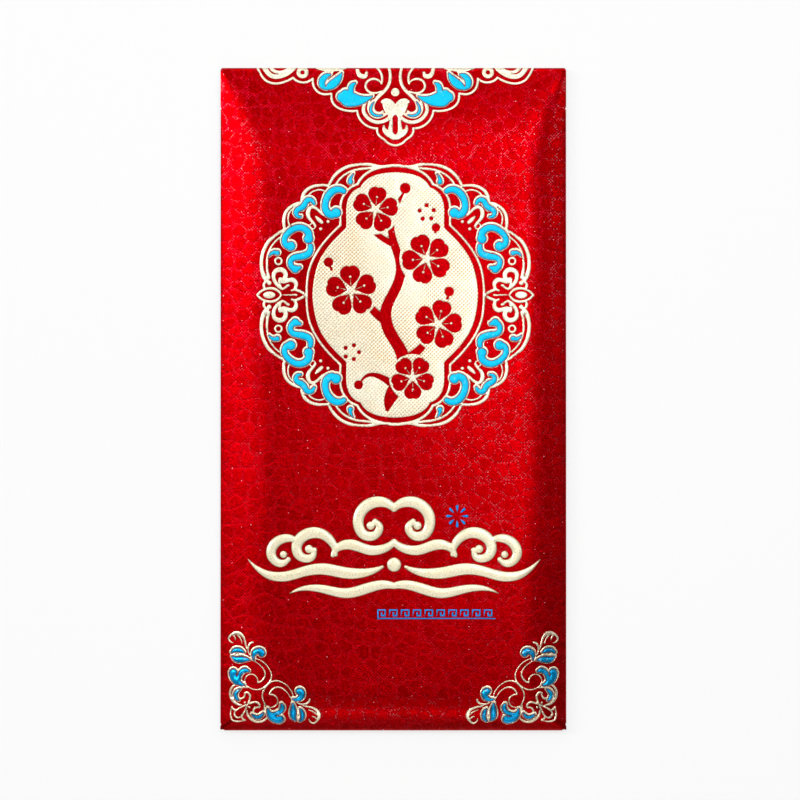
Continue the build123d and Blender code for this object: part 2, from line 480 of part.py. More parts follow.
def brush(stroke, plot, grow=0.0, drop=0.0):
    """Draw a brush stroke: a centre line with its own half width at each point, and round ends."""
    centres = [plot.at(u, v) - Vector(0, drop) for u, v, _ in stroke]
    halves = [width * plot.unit + grow for _, _, width in stroke]
    last = len(centres) - 1
    left = []
    right = []
    for index, (centre, half) in enumerate(zip(centres, halves)):
        before = centres[max(index - 1, 0)]
        after = centres[min(index + 1, last)]
        along = (after - before).normalized()
        across = Vector(-along.Y, along.X)
        left_room, right_room = bend_room(before, centre, after)
        left.append(centre + across * min(half, left_room))
        right.append(centre - across * min(half, right_room))
    start_tip = centres[0] - (centres[1] - centres[0]).normalized() * halves[0]
    end_tip = centres[last] + (centres[last] - centres[last - 1]).normalized() * halves[last]
    start_cap = ThreePointArc(right[0], start_tip, left[0])
    end_cap = ThreePointArc(left[last], end_tip, right[last])
    return facing_up(Face(Wire([Spline(*left), end_cap, Spline(*right[::-1]), start_cap])))


def dot(spot, plot, grow=0.0, drop=0.0):
    """Draw a round dot."""
    u, v, radius = spot
    return Pos(plot.at(u, v) - Vector(0, drop)) * Circle(radius * plot.unit + grow)


def ring(spot, plot):
    """Draw a round ring."""
    u, v, outer, inner = spot
    return Pos(plot.at(u, v)) * (Circle(outer * plot.unit) - Circle(inner * plot.unit))


def drawing(plots, strokes=(), dots=(), rings=(), grow=0.0, drop=0.0):
    """Draw strokes, dots and rings at each plot and join what touches."""
    shapes = []
    for plot in plots:
        shapes += [brush(stroke, plot, grow, drop) for stroke in strokes]
        shapes += [dot(spot, plot, grow, drop) for spot in dots]
        shapes += [ring(spot, plot) for spot in rings]
    return Sketch() + shapes


def blue_and_gold(plots, blue_strokes, blue_dots, gold):
    """Draw blue foil, and the gold foil round it with a rim that the lower printed blue leaves."""
    blue = drawing(plots, blue_strokes, blue_dots, drop=BLUE_DROP)
    bed = drawing(plots, blue_strokes, blue_dots, grow=FOIL_GAP, drop=BLUE_DROP)
    rim = drawing(plots, blue_strokes, blue_dots, grow=BLUE_RIM)
    return blue, gold + rim - bed


def petal(plot, angle):
    """Draw one notched petal with the slit of its stamen."""
    cosine = cos(radians(angle))
    sine = sin(radians(angle))

    def turned(along, across):
        return plot.at(along * cosine - across * sine, along * sine + across * cosine)

    left = [turned(along, across) for along, across in petal_shares]
    right = [turned(along, -across) for along, across in petal_shares]
    face = facing_up(Face(Wire([Spline(*left), Spline(*right[::-1])])))
    slit = [(along * cosine, along * sine, half) for along, half in stamen_shares]
    tip_along, tip_radius = stamen_tip_shares
    return face - brush(slit, plot) - dot((tip_along * cosine, tip_along * sine, tip_radius), plot)


def blossom(spot, plot):
    """Draw one five-petalled blossom."""
    u, v, radius, turn = spot
    centre = plot.at(u, v)
    own_plot = Plot(centre.X, centre.Y, radius * plot.unit)
    return [petal(own_plot, turn + index * 360 / PETALS) for index in range(PETALS)]


def plum_spray(plot):
    """Draw the plum spray: branches that stop short of the blossoms, buds and blossoms."""
    branches = drawing([plot], branch_shares, bud_shares)
    halos = [dot((u, v, radius * halo_share), plot) for u, v, radius, _ in blossom_shares]
    petals = []
    for spot in blossom_shares:
        petals += blossom(spot, plot)
    return branches - halos + petals


def small_mark(spot, plot):
    """Draw one small mark of five dots."""
    u, v, turn = spot
    reach, radius = mark_dot_shares
    angles = [radians(turn + index * 360 / PETALS) for index in range(PETALS)]
    return [dot((u + reach * cos(angle), v + reach * sin(angle), radius), plot) for angle in angles]


def medallion_ground(plot):
    """Draw the medallion's gold ground with the plum spray and two small marks left open."""
    quarters = []
    for flip_x in (1, -1):
        for flip_y in (1, -1):
            quarter = plot._replace(flip_x=flip_x, flip_y=flip_y)
            runs = [[quarter.at(u, v) for u, v in run] for run in ground_shares]
            edges = [Spline(*run) for run in runs]
            middle = quarter.at(0, 0)
            edges += [Line(runs[-1][-1], middle), Line(middle, runs[0][0])]
            quarters.append(facing_up(Face(Wire(edges))))
    marks = []
    for spot in mark_shares:
        marks += small_mark(spot, plot)
    return (Sketch() + quarters) - plum_spray(plot) - marks


def rosette(plot):
    """Draw the oval heart of one side rosette."""
    u, half_width, half_height = rosette_shares
    return Pos(plot.at(u, 0)) * Ellipse(half_width * plot.unit, half_height * plot.unit)


def burst():
    """Draw the burst of tapered rays."""
    plot = Plot(BURST_X, top_edge - BURST_DROP, BURST_RADIUS)
    rays = []
    for index in range(BURST_RAYS):
        angle = radians(index * 360 / BURST_RAYS)
        rays.append([(along * sin(angle), along * cos(angle), half) for along, half in ray_shares])
    return drawing([plot], rays)


def fret():
    """Draw a row of fret keys joined along the bottom by one line."""
    pitch = FRET_LENGTH / FRET_KEYS
    height = FRET_HEIGHT - FRET_LINE
    base = top_edge - FRET_DROP - height / 2
    bars = [Pos(FRET_X, base) * Rectangle(FRET_LENGTH, FRET_LINE)]
    for index in range(FRET_KEYS):
        left = FRET_X - FRET_LENGTH / 2 + index * pitch + FRET_LINE / 2
        for (u_start, v_start), (u_end, v_end) in key_shares:
            width = abs(u_end - u_start) * height + FRET_LINE
            depth = abs(v_end - v_start) * height + FRET_LINE
            middle_x = left + (u_start + u_end) / 2 * height
            middle_y = base + (v_start + v_end) / 2 * height
            bars.append(Pos(middle_x, middle_y) * Rectangle(width, depth))
    return Sketch() + bars


def stamp(outline, skin):
    """Press an outline into foil: flat on the front panel's middle, and along its slopes elsewhere."""
    middle = flat_middle(0).bounding_box()
    foils = []
    for face in outline.faces():
        box = face.bounding_box()
        west_and_south = box.min.X >= middle.min.X and box.min.Y >= middle.min.Y
        east_and_north = box.max.X <= middle.max.X and box.max.Y <= middle.max.Y
        if west_and_south and east_and_north:
            foils += extrude(Pos(0, 0, plateau_top) * face, EMBOSS, dir=(0, 0, 1)).solids()
        else:
            foils += (extrude(face, plateau_top + crease_outer, dir=(0, 0, 1)) & skin).solids()
    return Compound(foils)


def inlay(outline, flap_outline):
    """Press an outline into foil that lies flush in the closed flap's outer face."""
    return extrude(outline & flap_outline, INLAY, dir=(0, 0, 1))


form = front_block()
skin = foil_skin(form)
flap_outline = closing_flap_outline()
back_x = rim_x - BACK_SIDE_INSET
back_north = rim_north - MOUTH_INSET
bottom_length = 2 * (back_x - BACK_CORNER_RELIEF)
crease_length = 2 * (rim_x - FLAP_SIDE_INSET)

nodes = {
    "front_panel": form - Pos(0, 0, -PAPER) * form,
    "back_panel": block(-back_x, back_x, rim_south, back_north, back_bottom, back_top),
    "bottom_fold": fold_along_x(bottom_length, bottom_inner, bottom_outer, rim_south, bottom_z, -1),
    "top_crease": fold_along_x(crease_length, crease_inner, crease_outer, rim_north, crease_z, 1),
}
for side_name, side in (("left", -1), ("right", 1)):
    nodes[f"{side_name}_glue_flap"] = side_glue_flap(side)
    nodes[f"{side_name}_glue_line"] = glue_line(side)
    nodes[f"{side_name}_side_fold"] = side_fold(side)

medallion = Plot(MEDALLION_X, top_edge - MEDALLION_DROP, MEDALLION_RADIUS)
quarters = [medallion._replace(flip_x=flip_x, flip_y=flip_y) for flip_x in (1, -1) for flip_y in (1, -1)]
halves = [medallion, medallion._replace(flip_x=-1)]
frame_stroke_shares = rim_stroke_shares + scallop_stroke_shares + scroll_stroke_shares
gold_frame = drawing(quarters, frame_stroke_shares, scroll_dot_shares, scroll_ring_shares)
gold_frame = gold_frame + [rosette(plot) for plot in halves]
blue_scrolls, gold_frame = blue_and_gold(quarters, blue_scroll_shares, blue_ball_shares, gold_frame)
nodes["medallion_gold_ground"] = stamp(medallion_ground(medallion), skin)
nodes["medallion_gold_frame"] = stamp(gold_frame, skin)
nodes["medallion_blue_scrolls"] = stamp(blue_scrolls, skin)

valance = Plot(VALANCE_X, top_edge, VALANCE_HALF_WIDTH)
valance_sides = [valance, valance._replace(flip_x=-1)]
valance_stroke_shares = valance_edge_shares + valance_scroll_shares
valance_gold = drawing(valance_sides, valance_stroke_shares, valance_dot_shares, valance_ring_shares)
valance_leaves = (valance_leaf_shares, valance_leaf_dot_shares)
valance_blue, valance_gold = blue_and_gold(valance_sides, *valance_leaves, valance_gold)
nodes["valance_gold"] = stamp(valance_gold, skin)
nodes["valance_blue"] = stamp(valance_blue, skin)

band = Plot(BAND_X, top_edge - BAND_DROP, BAND_HALF_WIDTH)
band_sides = [band, band._replace(flip_x=-1)]
nodes["gold_cloud_band"] = stamp(drawing(band_sides, cloud_stroke_shares, cloud_dot_shares), skin)
nodes["blue_burst"] = stamp(burst(), skin)
nodes["blue_fret_line"] = stamp(fret(), skin)

corner_x = -ENVELOPE_WIDTH / 2 + CORNER_SIDE_INSET
corner = Plot(corner_x, -ENVELOPE_LENGTH / 2 + CORNER_BOTTOM_INSET, CORNER_SIZE)
arms = [corner, corner._replace(swapped=True)]
corner_gold = drawing(arms, corner_scroll_shares, corner_dot_shares)
corner_blue, corner_gold = blue_and_gold(arms, corner_leaf_shares, corner_leaf_dot_shares, corner_gold)
for colour_name, outline in (("gold", corner_gold), ("blue", corner_blue)):
    foil = stamp(outline, skin)
    nodes[f"left_corner_{colour_name}"] = foil
    nodes[f"right_corner_{colour_name}"] = mirror(foil, Plane.YZ)

flap_gold = inlay(valance_gold, flap_outline)
flap_blue = inlay(valance_blue, flap_outline)
nodes["flap_gold_valance"] = flap_gold
nodes["flap_blue_valance"] = flap_blue
nodes["closing_flap"] = extrude(flap_outline, PAPER, dir=(0, 0, 1)) - [flap_gold, flap_blue]

os.makedirs("parts", exist_ok=True)
for name, shape in nodes.items():
    export_step(shape, f"parts/{name}.step")
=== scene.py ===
"""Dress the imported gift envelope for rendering.

The paper is one folded sheet with a puffed front, and the closing flap is a second sheet that bends at the
top crease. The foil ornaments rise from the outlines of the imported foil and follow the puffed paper.
"""

import logging
import math
from dataclasses import dataclass
from enum import Enum
from typing import Any, Optional, Union

import bmesh
import bpy
import numpy as np
from bmesh.types import BMEdge, BMesh, BMVert
from bpy.types import ID, Material, Node, NodeSocket, Object
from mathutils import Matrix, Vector
from mathutils.bvhtree import BVHTree
from mathutils.geometry import delaunay_2d_cdt
from mathutils.kdtree import KDTree

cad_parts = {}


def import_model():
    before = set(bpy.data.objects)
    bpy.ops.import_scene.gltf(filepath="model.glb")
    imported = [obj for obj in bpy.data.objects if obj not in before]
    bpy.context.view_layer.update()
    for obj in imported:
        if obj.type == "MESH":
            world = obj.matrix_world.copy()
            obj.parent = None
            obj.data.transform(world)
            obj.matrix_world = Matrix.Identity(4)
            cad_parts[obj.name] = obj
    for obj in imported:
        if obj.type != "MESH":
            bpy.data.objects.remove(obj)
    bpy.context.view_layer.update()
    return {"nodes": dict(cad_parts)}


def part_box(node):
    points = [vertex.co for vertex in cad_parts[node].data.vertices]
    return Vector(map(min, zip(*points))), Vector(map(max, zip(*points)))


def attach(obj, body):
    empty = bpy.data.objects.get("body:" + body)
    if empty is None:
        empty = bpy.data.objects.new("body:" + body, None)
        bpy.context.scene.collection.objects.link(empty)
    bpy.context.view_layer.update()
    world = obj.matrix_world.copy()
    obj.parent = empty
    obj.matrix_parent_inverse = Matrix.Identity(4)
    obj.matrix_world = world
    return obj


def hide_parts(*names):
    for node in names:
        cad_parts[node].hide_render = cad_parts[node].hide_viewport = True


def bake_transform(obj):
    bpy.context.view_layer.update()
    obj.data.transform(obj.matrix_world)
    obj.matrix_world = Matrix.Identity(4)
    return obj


log = logging.getLogger("gift_envelope")

MM = 0.001
ENVELOPE_BODY = "envelope"
FLAP_BODY = "flap"
GOLD_SLOT = "gold_foil"
BLUE_SLOT = "blue_foil"
RIM_DEPTH = "rim_depth"
PLAIN_FIELD = "plain_field"
UP = Vector((0.0, 0.0, 1.0))
DOWN = -UP
NORTH = Vector((0.0, 1.0, 0.0))
EAST = Vector((1.0, 0.0, 0.0))
# The places of the mix node's two colours and of its result among its sockets.
MIX_COLOURS = (6, 7)
MIX_RESULT = 2
Colour = tuple[float, float, float]
Pair = tuple[float, float]
Feed = Union[NodeSocket, float, tuple]


class PatternPlace(Enum):
    """Where a finish reads the place of its pattern."""

    OBJECT = "object"
    FLAT_SHEET = "flat_sheet"


class FoilSide(Enum):
    """Which way a foil's shown face looks."""

    UP = 1.0
    DOWN = -1.0


class Board:
    """The node tree of one material, with short ways to add and join nodes."""

    def __init__(self, name: str) -> None:
        """Start an empty tree.

        Args:
            name: The material's name.
        """
        self.material: Material = bpy.data.materials.new(name)
        self.material.use_nodes = True
        self.tree = self.material.node_tree
        self.tree.nodes.clear()

    def feed(self, target: NodeSocket, value: Feed) -> None:
        """Join a socket to an input, or set the input's own value.

        Args:
            target: The input.
            value: A socket, a number or a colour.
        """
        if isinstance(value, NodeSocket):
            self.tree.links.new(value, target)
        else:
            target.default_value = value

    def add(self, kind: str, inputs: dict, **settings: Any) -> Node:
        """Add a node.

        Args:
            kind: The end of Blender's name of the node type.
            inputs: What the node's inputs take, by their names or places.
            settings: Properties to set on the node.

        Returns:
            The new node.
        """
        node = self.tree.nodes.new(f"ShaderNode{kind}")
        for name, value in settings.items():
            setattr(node, name, value)
        for key, value in inputs.items():
            self.feed(node.inputs[key], value)
        return node

    def attribute(self, name: str, output: str = "Fac") -> NodeSocket:
        """Read one of the piece's own attributes."""
        return self.add("Attribute", {}, attribute_name=name).outputs[output]

    def place(self, source: PatternPlace) -> NodeSocket:
        """Give the place of the shaded point in metres.

        Args:
            source: The object's own coordinates, or the place on the flat sheet.

        Returns:
            A vector socket.
        """
        if source is PatternPlace.OBJECT:
            return self.add("TexCoord", {}).outputs["Object"]
        return self.attribute(source.value, "Vector")

    def axes(self, place: NodeSocket) -> list[NodeSocket]:
        """Split a place into its three distances."""
        return list(self.add("SeparateXYZ", {0: place}).outputs)

    def maths(self, operation: str, first: Feed, second: Feed = 0.0) -> NodeSocket:
        """Work out a result from two values."""
        return self.add("Math", {0: first, 1: second}, operation=operation).outputs[0]

    def product(self, first: Feed, second: Feed) -> NodeSocket:
        """Multiply two values."""
        return self.maths("MULTIPLY", first, second)

    def span(self, value: Feed, low: float, high: float, start: float = 0.0, end: float = 1.0) -> NodeSocket:
        """Ease a value from the range of low to high into the range of start to end."""
        inputs = {"Value": value, "From Min": low, "From Max": high, "To Min": start, "To Max": end}
        return self.add("MapRange", inputs, interpolation_type="SMOOTHSTEP").outputs["Result"]

    def tint(self, share: Feed, first: Feed, second: Feed) -> NodeSocket:
        """Mix two colours.

        Args:
            share: How much of the second colour shows.
            first: The first colour.
            second: The second colour.

        Returns:
            The mixed colour.
        """
        inputs: dict[int, Feed] = {0: share}
        for key, value in zip(MIX_COLOURS, (first, second)):
            inputs[key] = value if isinstance(value, NodeSocket) else (*value, 1.0)
        return self.add("Mix", inputs, data_type="RGBA").outputs[MIX_RESULT]

    def clouds(self, place: NodeSocket, size: float, detail: float = 2.0, output: str = "Fac") -> NodeSocket:
        """Make clouds of a size in metres, with more detail for finer layers, as values from 0 to 1."""
        inputs = {"Vector": place, "Scale": 1.0 / size, "Detail": detail}
        return self.add("TexNoise", inputs).outputs[output]

    def wobble(self, place: NodeSocket, size: float, reach: float) -> NodeSocket:
        """Shift a place a little this way and that.

        Args:
            place: The place of the point.
            size: The distance over which the shift changes, in metres.
            reach: The widest shift in metres.

        Returns:
            The shifted place.
        """
        middle = (0.5, 0.5, 0.5)
        colour = self.clouds(place, size, output="Color")
        centred = self.add("VectorMath", {0: colour, 1: middle}, operation="SUBTRACT").outputs[0]
        inputs = {0: centred, 1: (reach, reach, 0.0), 2: place}
        return self.add("VectorMath", inputs, operation="MULTIPLY_ADD").outputs[0]

    def cells(self, place: NodeSocket, size: float, feature: str, randomness: float) -> Node:
        """Make flat cells of a size in metres, and measure one feature of them."""
        inputs = {"Vector": place, "Scale": 1.0 / size, "Randomness": randomness}
        return self.add("TexVoronoi", inputs, voronoi_dimensions="2D", feature=feature)

    def chances(
        self, place: NodeSocket, size: float, randomness: float = 1.0
    ) -> tuple[NodeSocket, list[NodeSocket]]:
        """Make cells that each have chances of their own.

        Args:
            place: The place of the point.
            size: The cells' size in metres.
            randomness: How irregular the cells are.

        Returns:
            The distance from a cell's middle, and the cell's three chances.
        """
        cells = self.cells(place, size, "F1", randomness)
        split = self.add("SeparateColor", {0: cells.outputs["Color"]})
        return cells.outputs["Distance"], list(split.outputs)

    def diagonal(self, place: NodeSocket, scale: float = 1.0) -> NodeSocket:
        """Turn a place by 45 degrees and enlarge it."""
        inputs = {"Vector": place, "Rotation": (0.0, 0.0, math.radians(45.0)), "Scale": (scale,) * 3}
        return self.add("Mapping", inputs).outputs[0]

    def lattice(self, place: NodeSocket, pitch: float, row_share: float) -> NodeSocket:
        """Make a diagonal lattice of dots.

        Args:
            place: The place of the point.
            pitch: The distance between dots in metres.
            row_share: How much the dots run together into rows, from 0.5 for round dots to 1.

        Returns:
            A value from -1 to 1, which is 1 in the middle of each dot.
        """
        across, along, _ = self.axes(self.diagonal(place, math.tau / pitch))
        across = self.product(self.maths("COSINE", across), row_share)
        along = self.product(self.maths("COSINE", along), 1.0 - row_share)
        return self.maths("ADD", across, along)

    def bump(self, height: Feed, depth: float) -> NodeSocket:
        """Turn a height from 0 to 1 into a shading normal, for a depth in metres."""
        return self.add("Bump", {"Strength": 1.0, "Distance": depth, "Height": height}).outputs["Normal"]

    def end(self, shader: Node) -> Material:
        """End the tree with a shader."""
        self.add("OutputMaterial", {"Surface": shader.outputs[0]})
        return self.material

    def finish(self, **inputs: Feed) -> Material:
        """End the tree with the surface shader, whose inputs have underscores for spaces."""
        named = {name.replace("_", " "): value for name, value in inputs.items()}
        return self.end(self.add("BsdfPrincipled", named))


@dataclass(frozen=True)
class RedPaper:
    """Red metallised paper, embossed with pebbles that lie in fine rows of dots.

    An edge holds the two values between which something fades in.
    """

    place: PatternPlace
    plain_field: Optional[str] = None
    pebble: Colour = (0.52, 0.0, 0.002)
    dark_pebble: Colour = (0.40, 0.0, 0.001)
    groove: Colour = (0.45, 0.0, 0.003)
    plain: Colour = (0.39, 0.0, 0.002)
    spark: Colour = (0.90, 0.006, 0.045)
    fleck: Colour = (0.72, 0.0, 0.006)
    shadow: Colour = (0.24, 0.0, 0.001)
    glint: Colour = (1.0, 0.5, 0.6)
    cell: float = 3.4 * MM
    randomness: float = 0.85
    wobble_size: float = 1.6 * MM
    wobble: float = 1.1 * MM
    groove_edge: Pair = (0.07, 0.12)
    pebble_edge: Pair = (0.58, 0.47)
    field_edge: Pair = (0.6, 0.1)
    pitch: float = 0.56 * MM
    dot_edge: Pair = (0.42, 0.24)
    bright_edge: Pair = (0.35, 0.9)
    pink_edge: Pair = (0.0, 0.6)
    patch: float = 9.0 * MM
    patch_edge: Pair = (0.35, 0.65)
    spark_shares: Pair = (0.15, 0.65)
    # Painted sheen: the pink dots fade out towards the bottom, between these two places along the envelope.
    sheen_fade_edge: Pair = (-8.0 * MM, 30.0 * MM)
    least_sheen_share: float = 0.12
    dot_gloss: float = 0.8
    gloss_roughness: float = 0.12
    dot_depth: float = 0.006 * MM
    grain: float = 0.32 * MM
    shadow_edge: Pair = (0.45, 1.0)
    shadow_share: float = 0.45
    fleck_edge: Pair = (0.93, 0.97)
    fleck_share: float = 0.5
    speck: float = 2.4 * MM
    speck_edge: Pair = (0.06, 0.025)
    lit_edge: Pair = (0.90, 0.93)
    least_lit_share: float = 0.4
    roughness: Pair = (0.30, 0.42)
    relief_depth: float = 0.03 * MM
    pebble_rise_share: float = 0.6
    dot_rise_share: float = 0.55
    grain_rise_share: float = 0.25

    def material(self) -> Material:
        """Make the material.

        Returns:
            The material.
        """
        board = Board(f"red_paper_{self.place.value}")
        place = board.place(self.place)
        bent = board.wobble(place, self.wobble_size, self.wobble)
        border = board.cells(bent, self.cell, "DISTANCE_TO_EDGE", self.randomness).outputs["Distance"]
        middle, own = board.chances(bent, self.cell, self.randomness)
        inside = board.product(board.span(border, *self.groove_edge), board.span(middle, *self.pebble_edge))
        groove = board.maths("SUBTRACT", 1.0, inside)
        colour = board.tint(inside, self.groove, board.tint(own[0], self.pebble, self.dark_pebble))
        if self.plain_field:
            marked = board.attribute(self.plain_field)
            groove = board.product(groove, board.span(marked, *self.field_edge))
            colour = board.tint(marked, colour, self.plain)
        # Dots in the grooves: some shine and more are pink, and the pink is a painted sheen that thins out
        # towards the bottom, where less light is mirrored.
        apart, luck = board.chances(board.diagonal(place), self.pitch, 0.0)
        dots = board.product(groove, board.span(apart, *self.dot_edge))
        bright = board.product(dots, board.span(luck[0], *self.bright_edge))
        pink = board.product(dots, board.span(luck[0], *self.pink_edge))
        patches = board.span(board.clouds(place, self.patch), *self.patch_edge, *self.spark_shares)
        painted_sheen = board.span(board.axes(place)[1], *self.sheen_fade_edge, self.least_sheen_share, 1.0)
        colour = board.tint(board.product(pink, board.product(patches, painted_sheen)), colour, self.spark)
        # Fine grain, and a few specks that catch the light.
        _, grain = board.chances(place, self.grain)
        for chance, edge, share, tone in (
            (grain[0], self.shadow_edge, self.shadow_share, self.shadow),
            (grain[1], self.fleck_edge, self.fleck_share, self.fleck),
        ):
            colour = board.tint(board.span(chance, *edge, 0.0, share), colour, tone)
        far, lots = board.chances(place, self.speck)
        lit = board.product(board.span(far, *self.speck_edge), board.span(lots[0], *self.lit_edge))
        lit = board.product(lit, board.span(lots[1], 0.0, 1.0, self.least_lit_share, 1.0))
        colour = board.tint(lit, colour, self.glint)
        pebbles = board.product(inside, self.pebble_rise_share)
        relief = board.maths("ADD", pebbles, board.product(dots, self.dot_rise_share))
        relief = board.maths("ADD", relief, board.product(grain[2], self.grain_rise_share))
        return board.finish(
            Base_Color=colour,
            Metallic=1.0,
            Roughness=board.span(grain[2], 0.0, 1.0, *self.roughness),
            Coat_Weight=board.product(bright, self.dot_gloss),
            Coat_Roughness=self.gloss_roughness,
            Coat_Normal=board.bump(dots, self.dot_depth),
            Normal=board.bump(relief, self.relief_depth),
        )


@dataclass(frozen=True)
class DullFinish:
    """A dull finish with clouds of a second colour."""

    name: str
    colour: Colour
    cloud_colour: Colour
    cloud: float
    detail: float
    roughness: float
    cloud_edge: Optional[Pair] = None
    depth: float = 0.02 * MM

    def material(self) -> Material:
        """Make the material.

        Returns:
            The material.
        """
        board = Board(self.name)
        clouds = board.clouds(board.place(PatternPlace.OBJECT), self.cloud, self.detail)
        share = board.span(clouds, *self.cloud_edge) if self.cloud_edge else clouds
        return board.finish(
            Base_Color=board.tint(share, self.colour, self.cloud_colour),
            Roughness=self.roughness,
            Normal=board.bump(clouds, self.depth),
        )


class PlainFinish(Enum):
    """The finishes that are not printed: the paper's inner side and cut edges, and the dried glue."""

    LINING = DullFinish(
        "lining_paper", (0.86, 0.83, 0.8), (0.74, 0.69, 0.66),
        cloud=0.5 * MM, detail=6.0, roughness=0.85, cloud_edge=(0.35, 0.7))
    GLUE = DullFinish(
        "dried_glue", (0.82, 0.78, 0.68), (0.68, 0.62, 0.5), cloud=2.0 * MM, detail=4.0, roughness=0.4)


@dataclass(frozen=True)
class StampedFoil:
    """Hot stamped foil with a faint cloudy sheen, with painted shade along its outline and in its dimples
    where they are asked for.
    """

    name: str
    slot: str
    colour: Colour
    shade: Colour
    metallic: float
    roughness: float = 0.28
    roughness_spread: Pair = (-0.05, 0.08)
    sheen: float = 0.5
    cloud: float = 3.0 * MM
    cloud_detail: float = 4.0
    cloud_edge: Pair = (0.4, 0.75)
    shade_share: float = 0.5
    grain: float = 0.35 * MM
    grain_detail: float = 3.0
    grain_edge: Pair = (0.3, 0.7)
    grain_rise_share: float = 0.3
    grain_depth: float = 0.04 * MM
    dimple_pitch: Optional[float] = None
    # Painted shade in the dimples' hollows.
    dimple_shade: Colour = (0.60, 0.30, 0.05)
    dimple_edge: Pair = (0.0, 0.6)
    dimple_row_share: float = 0.62
    dimple_shade_share: float = 0.95
    dimple_drop_share: float = 0.4
    press_patch: float = 14.0 * MM
    press_edge: Pair = (0.35, 0.65)
    press_shares: Pair = (0.45, 1.0)
    # Specks: darker flecks of the gold foils' own mottling, and painted glints in white on the blue foils.
    speck: Colour = (0.9, 0.95, 1.0)
    speck_size: float = 0.8 * MM
    speck_detail: float = 4.0
    speck_edge: Pair = (0.6, 0.72)
    fleck_and_glint_share: float = 0.0
    # Painted shade along the foil's outline, where its rounded relief falls away from the light.
    edge: Colour = (0.16, 0.09, 0.03)
    rim_shade_depth: float = 0.12
    rim_shade_share: float = 0.85

    def material(self) -> Material:
        """Make the material.

        Returns:
            The material.
        """
        board = Board(self.name)
        place = board.place(PatternPlace.OBJECT)
        clouds = board.clouds(place, self.cloud, self.cloud_detail)
        shaded = board.span(clouds, *self.cloud_edge, 0.0, self.shade_share)
        colour = board.tint(shaded, self.colour, self.shade)
        grain = board.clouds(place, self.grain, self.grain_detail)
        relief = board.product(grain, self.grain_rise_share)
        if self.dimple_pitch:
            dots = board.lattice(place, self.dimple_pitch, self.dimple_row_share)
            press = board.span(board.clouds(place, self.press_patch), *self.press_edge, *self.press_shares)
            dimples = board.product(board.span(dots, *self.dimple_edge), press)
            # Painted shade: the dimples are tinted darker, as shade in their hollows.
            colour = board.tint(board.product(dimples, self.dimple_shade_share), colour, self.dimple_shade)
            relief = board.maths("SUBTRACT", relief, board.product(dimples, self.dimple_drop_share))
        # Random specks: darker flecks on the gold foils, painted glints in white on the blue foils.
        if self.fleck_and_glint_share:
            flecks_and_glints = board.clouds(place, self.speck_size, self.speck_detail)
            flecks_and_glints = board.span(flecks_and_glints, *self.speck_edge, 0.0, self.fleck_and_glint_share)
            colour = board.tint(flecks_and_glints, colour, self.speck)
        # Painted shade: the foil darkens towards its outline, as its rounded edge would.
        rim = board.span(board.attribute(RIM_DEPTH), 0.0, self.rim_shade_depth, self.rim_shade_share, 0.0)
        low, high = self.roughness_spread
        return board.finish(
            Base_Color=board.tint(rim, colour, self.edge),
            Metallic=self.metallic,
            Roughness=board.span(grain, *self.grain_edge, self.roughness + low, self.roughness + high),
            Specular_IOR_Level=self.sheen,
            Normal=board.bump(relief, self.grain_depth),
        )


class FoilFinish(Enum):
    """The finishes of the foils."""

    GOLD = StampedFoil(
        "gold_foil", GOLD_SLOT, (1.0, 0.95, 0.75), (0.96, 0.82, 0.54), metallic=0.3,
        speck=(0.80, 0.50, 0.20), fleck_and_glint_share=0.5)
    DIMPLED_GOLD = StampedFoil(
        "dimpled_gold_foil", GOLD_SLOT, (1.0, 0.96, 0.78), (1.0, 0.88, 0.60), metallic=0.3,
        speck=(0.85, 0.58, 0.28), fleck_and_glint_share=0.35, dimple_pitch=0.70 * MM)
    DOMED_GOLD = StampedFoil(
        "domed_gold_foil", GOLD_SLOT, (1.0, 0.92, 0.66), (1.0, 0.84, 0.50), metallic=0.3,
        roughness=0.3, grain_depth=0.008 * MM, rim_shade_depth=0.25)
    # Painted shade: the lower corners' gold and blue are darker copies of the other foils, standing in for
    # the shade on the sloping rim there.
    SHADED_CORNER_GOLD = StampedFoil(
        "shaded_corner_gold_foil", GOLD_SLOT, (1.0, 0.88, 0.66), (0.80, 0.60, 0.34), metallic=0.9)
    SHADED_CORNER_BLUE = StampedFoil(
        "shaded_corner_blue_foil", BLUE_SLOT, (0.0, 0.42, 0.85), (0.0, 0.12, 0.34), metallic=0.85,
        roughness=0.3, fleck_and_glint_share=0.3, edge=(0.0, 0.08, 0.2))
    LINE_BLUE = StampedFoil(
        "line_blue_foil", BLUE_SLOT, (0.0, 0.28, 0.80), (0.0, 0.18, 0.64), metallic=0.3,
        roughness=0.35, sheen=0.1, fleck_and_glint_share=0.1, edge=(0.0, 0.08, 0.36))
    BLUE = StampedFoil(
        "blue_foil", BLUE_SLOT, (0.0, 0.62, 1.0), (0.0, 0.54, 1.0), metallic=0.15,
        roughness=0.45, sheen=0.15, fleck_and_glint_share=0.15, edge=(0.0, 0.26, 0.6))


@dataclass(frozen=True)
class FoldArc:
    """The outer face of a round fold: its radius, the height of its centre and the slope that enters it."""

    radius: float
    centre_z: float
    slope: float

    @property
    def entry(self) -> float:
        """Angle from the top of the fold at which the sloping paper enters it."""
        return math.atan(self.slope)

    @property
    def reach(self) -> float:
        """How far past the fold's centre the sloping paper enters it."""
        return self.radius * math.sin(self.entry)

    @property
    def entry_z(self) -> float:
        """The height at which the sloping paper enters the fold."""
        return self.centre_z + self.radius * math.cos(self.entry)


def soft_min(first: np.ndarray, second: Any, rounding: Any) -> np.ndarray:
    """Take the lower of two heights, rounded where they differ by less than the rounding."""
    near = np.clip(rounding - np.abs(first - second), 0.0, None) / rounding
    return np.minimum(first, second) - near * near * rounding / 4.0


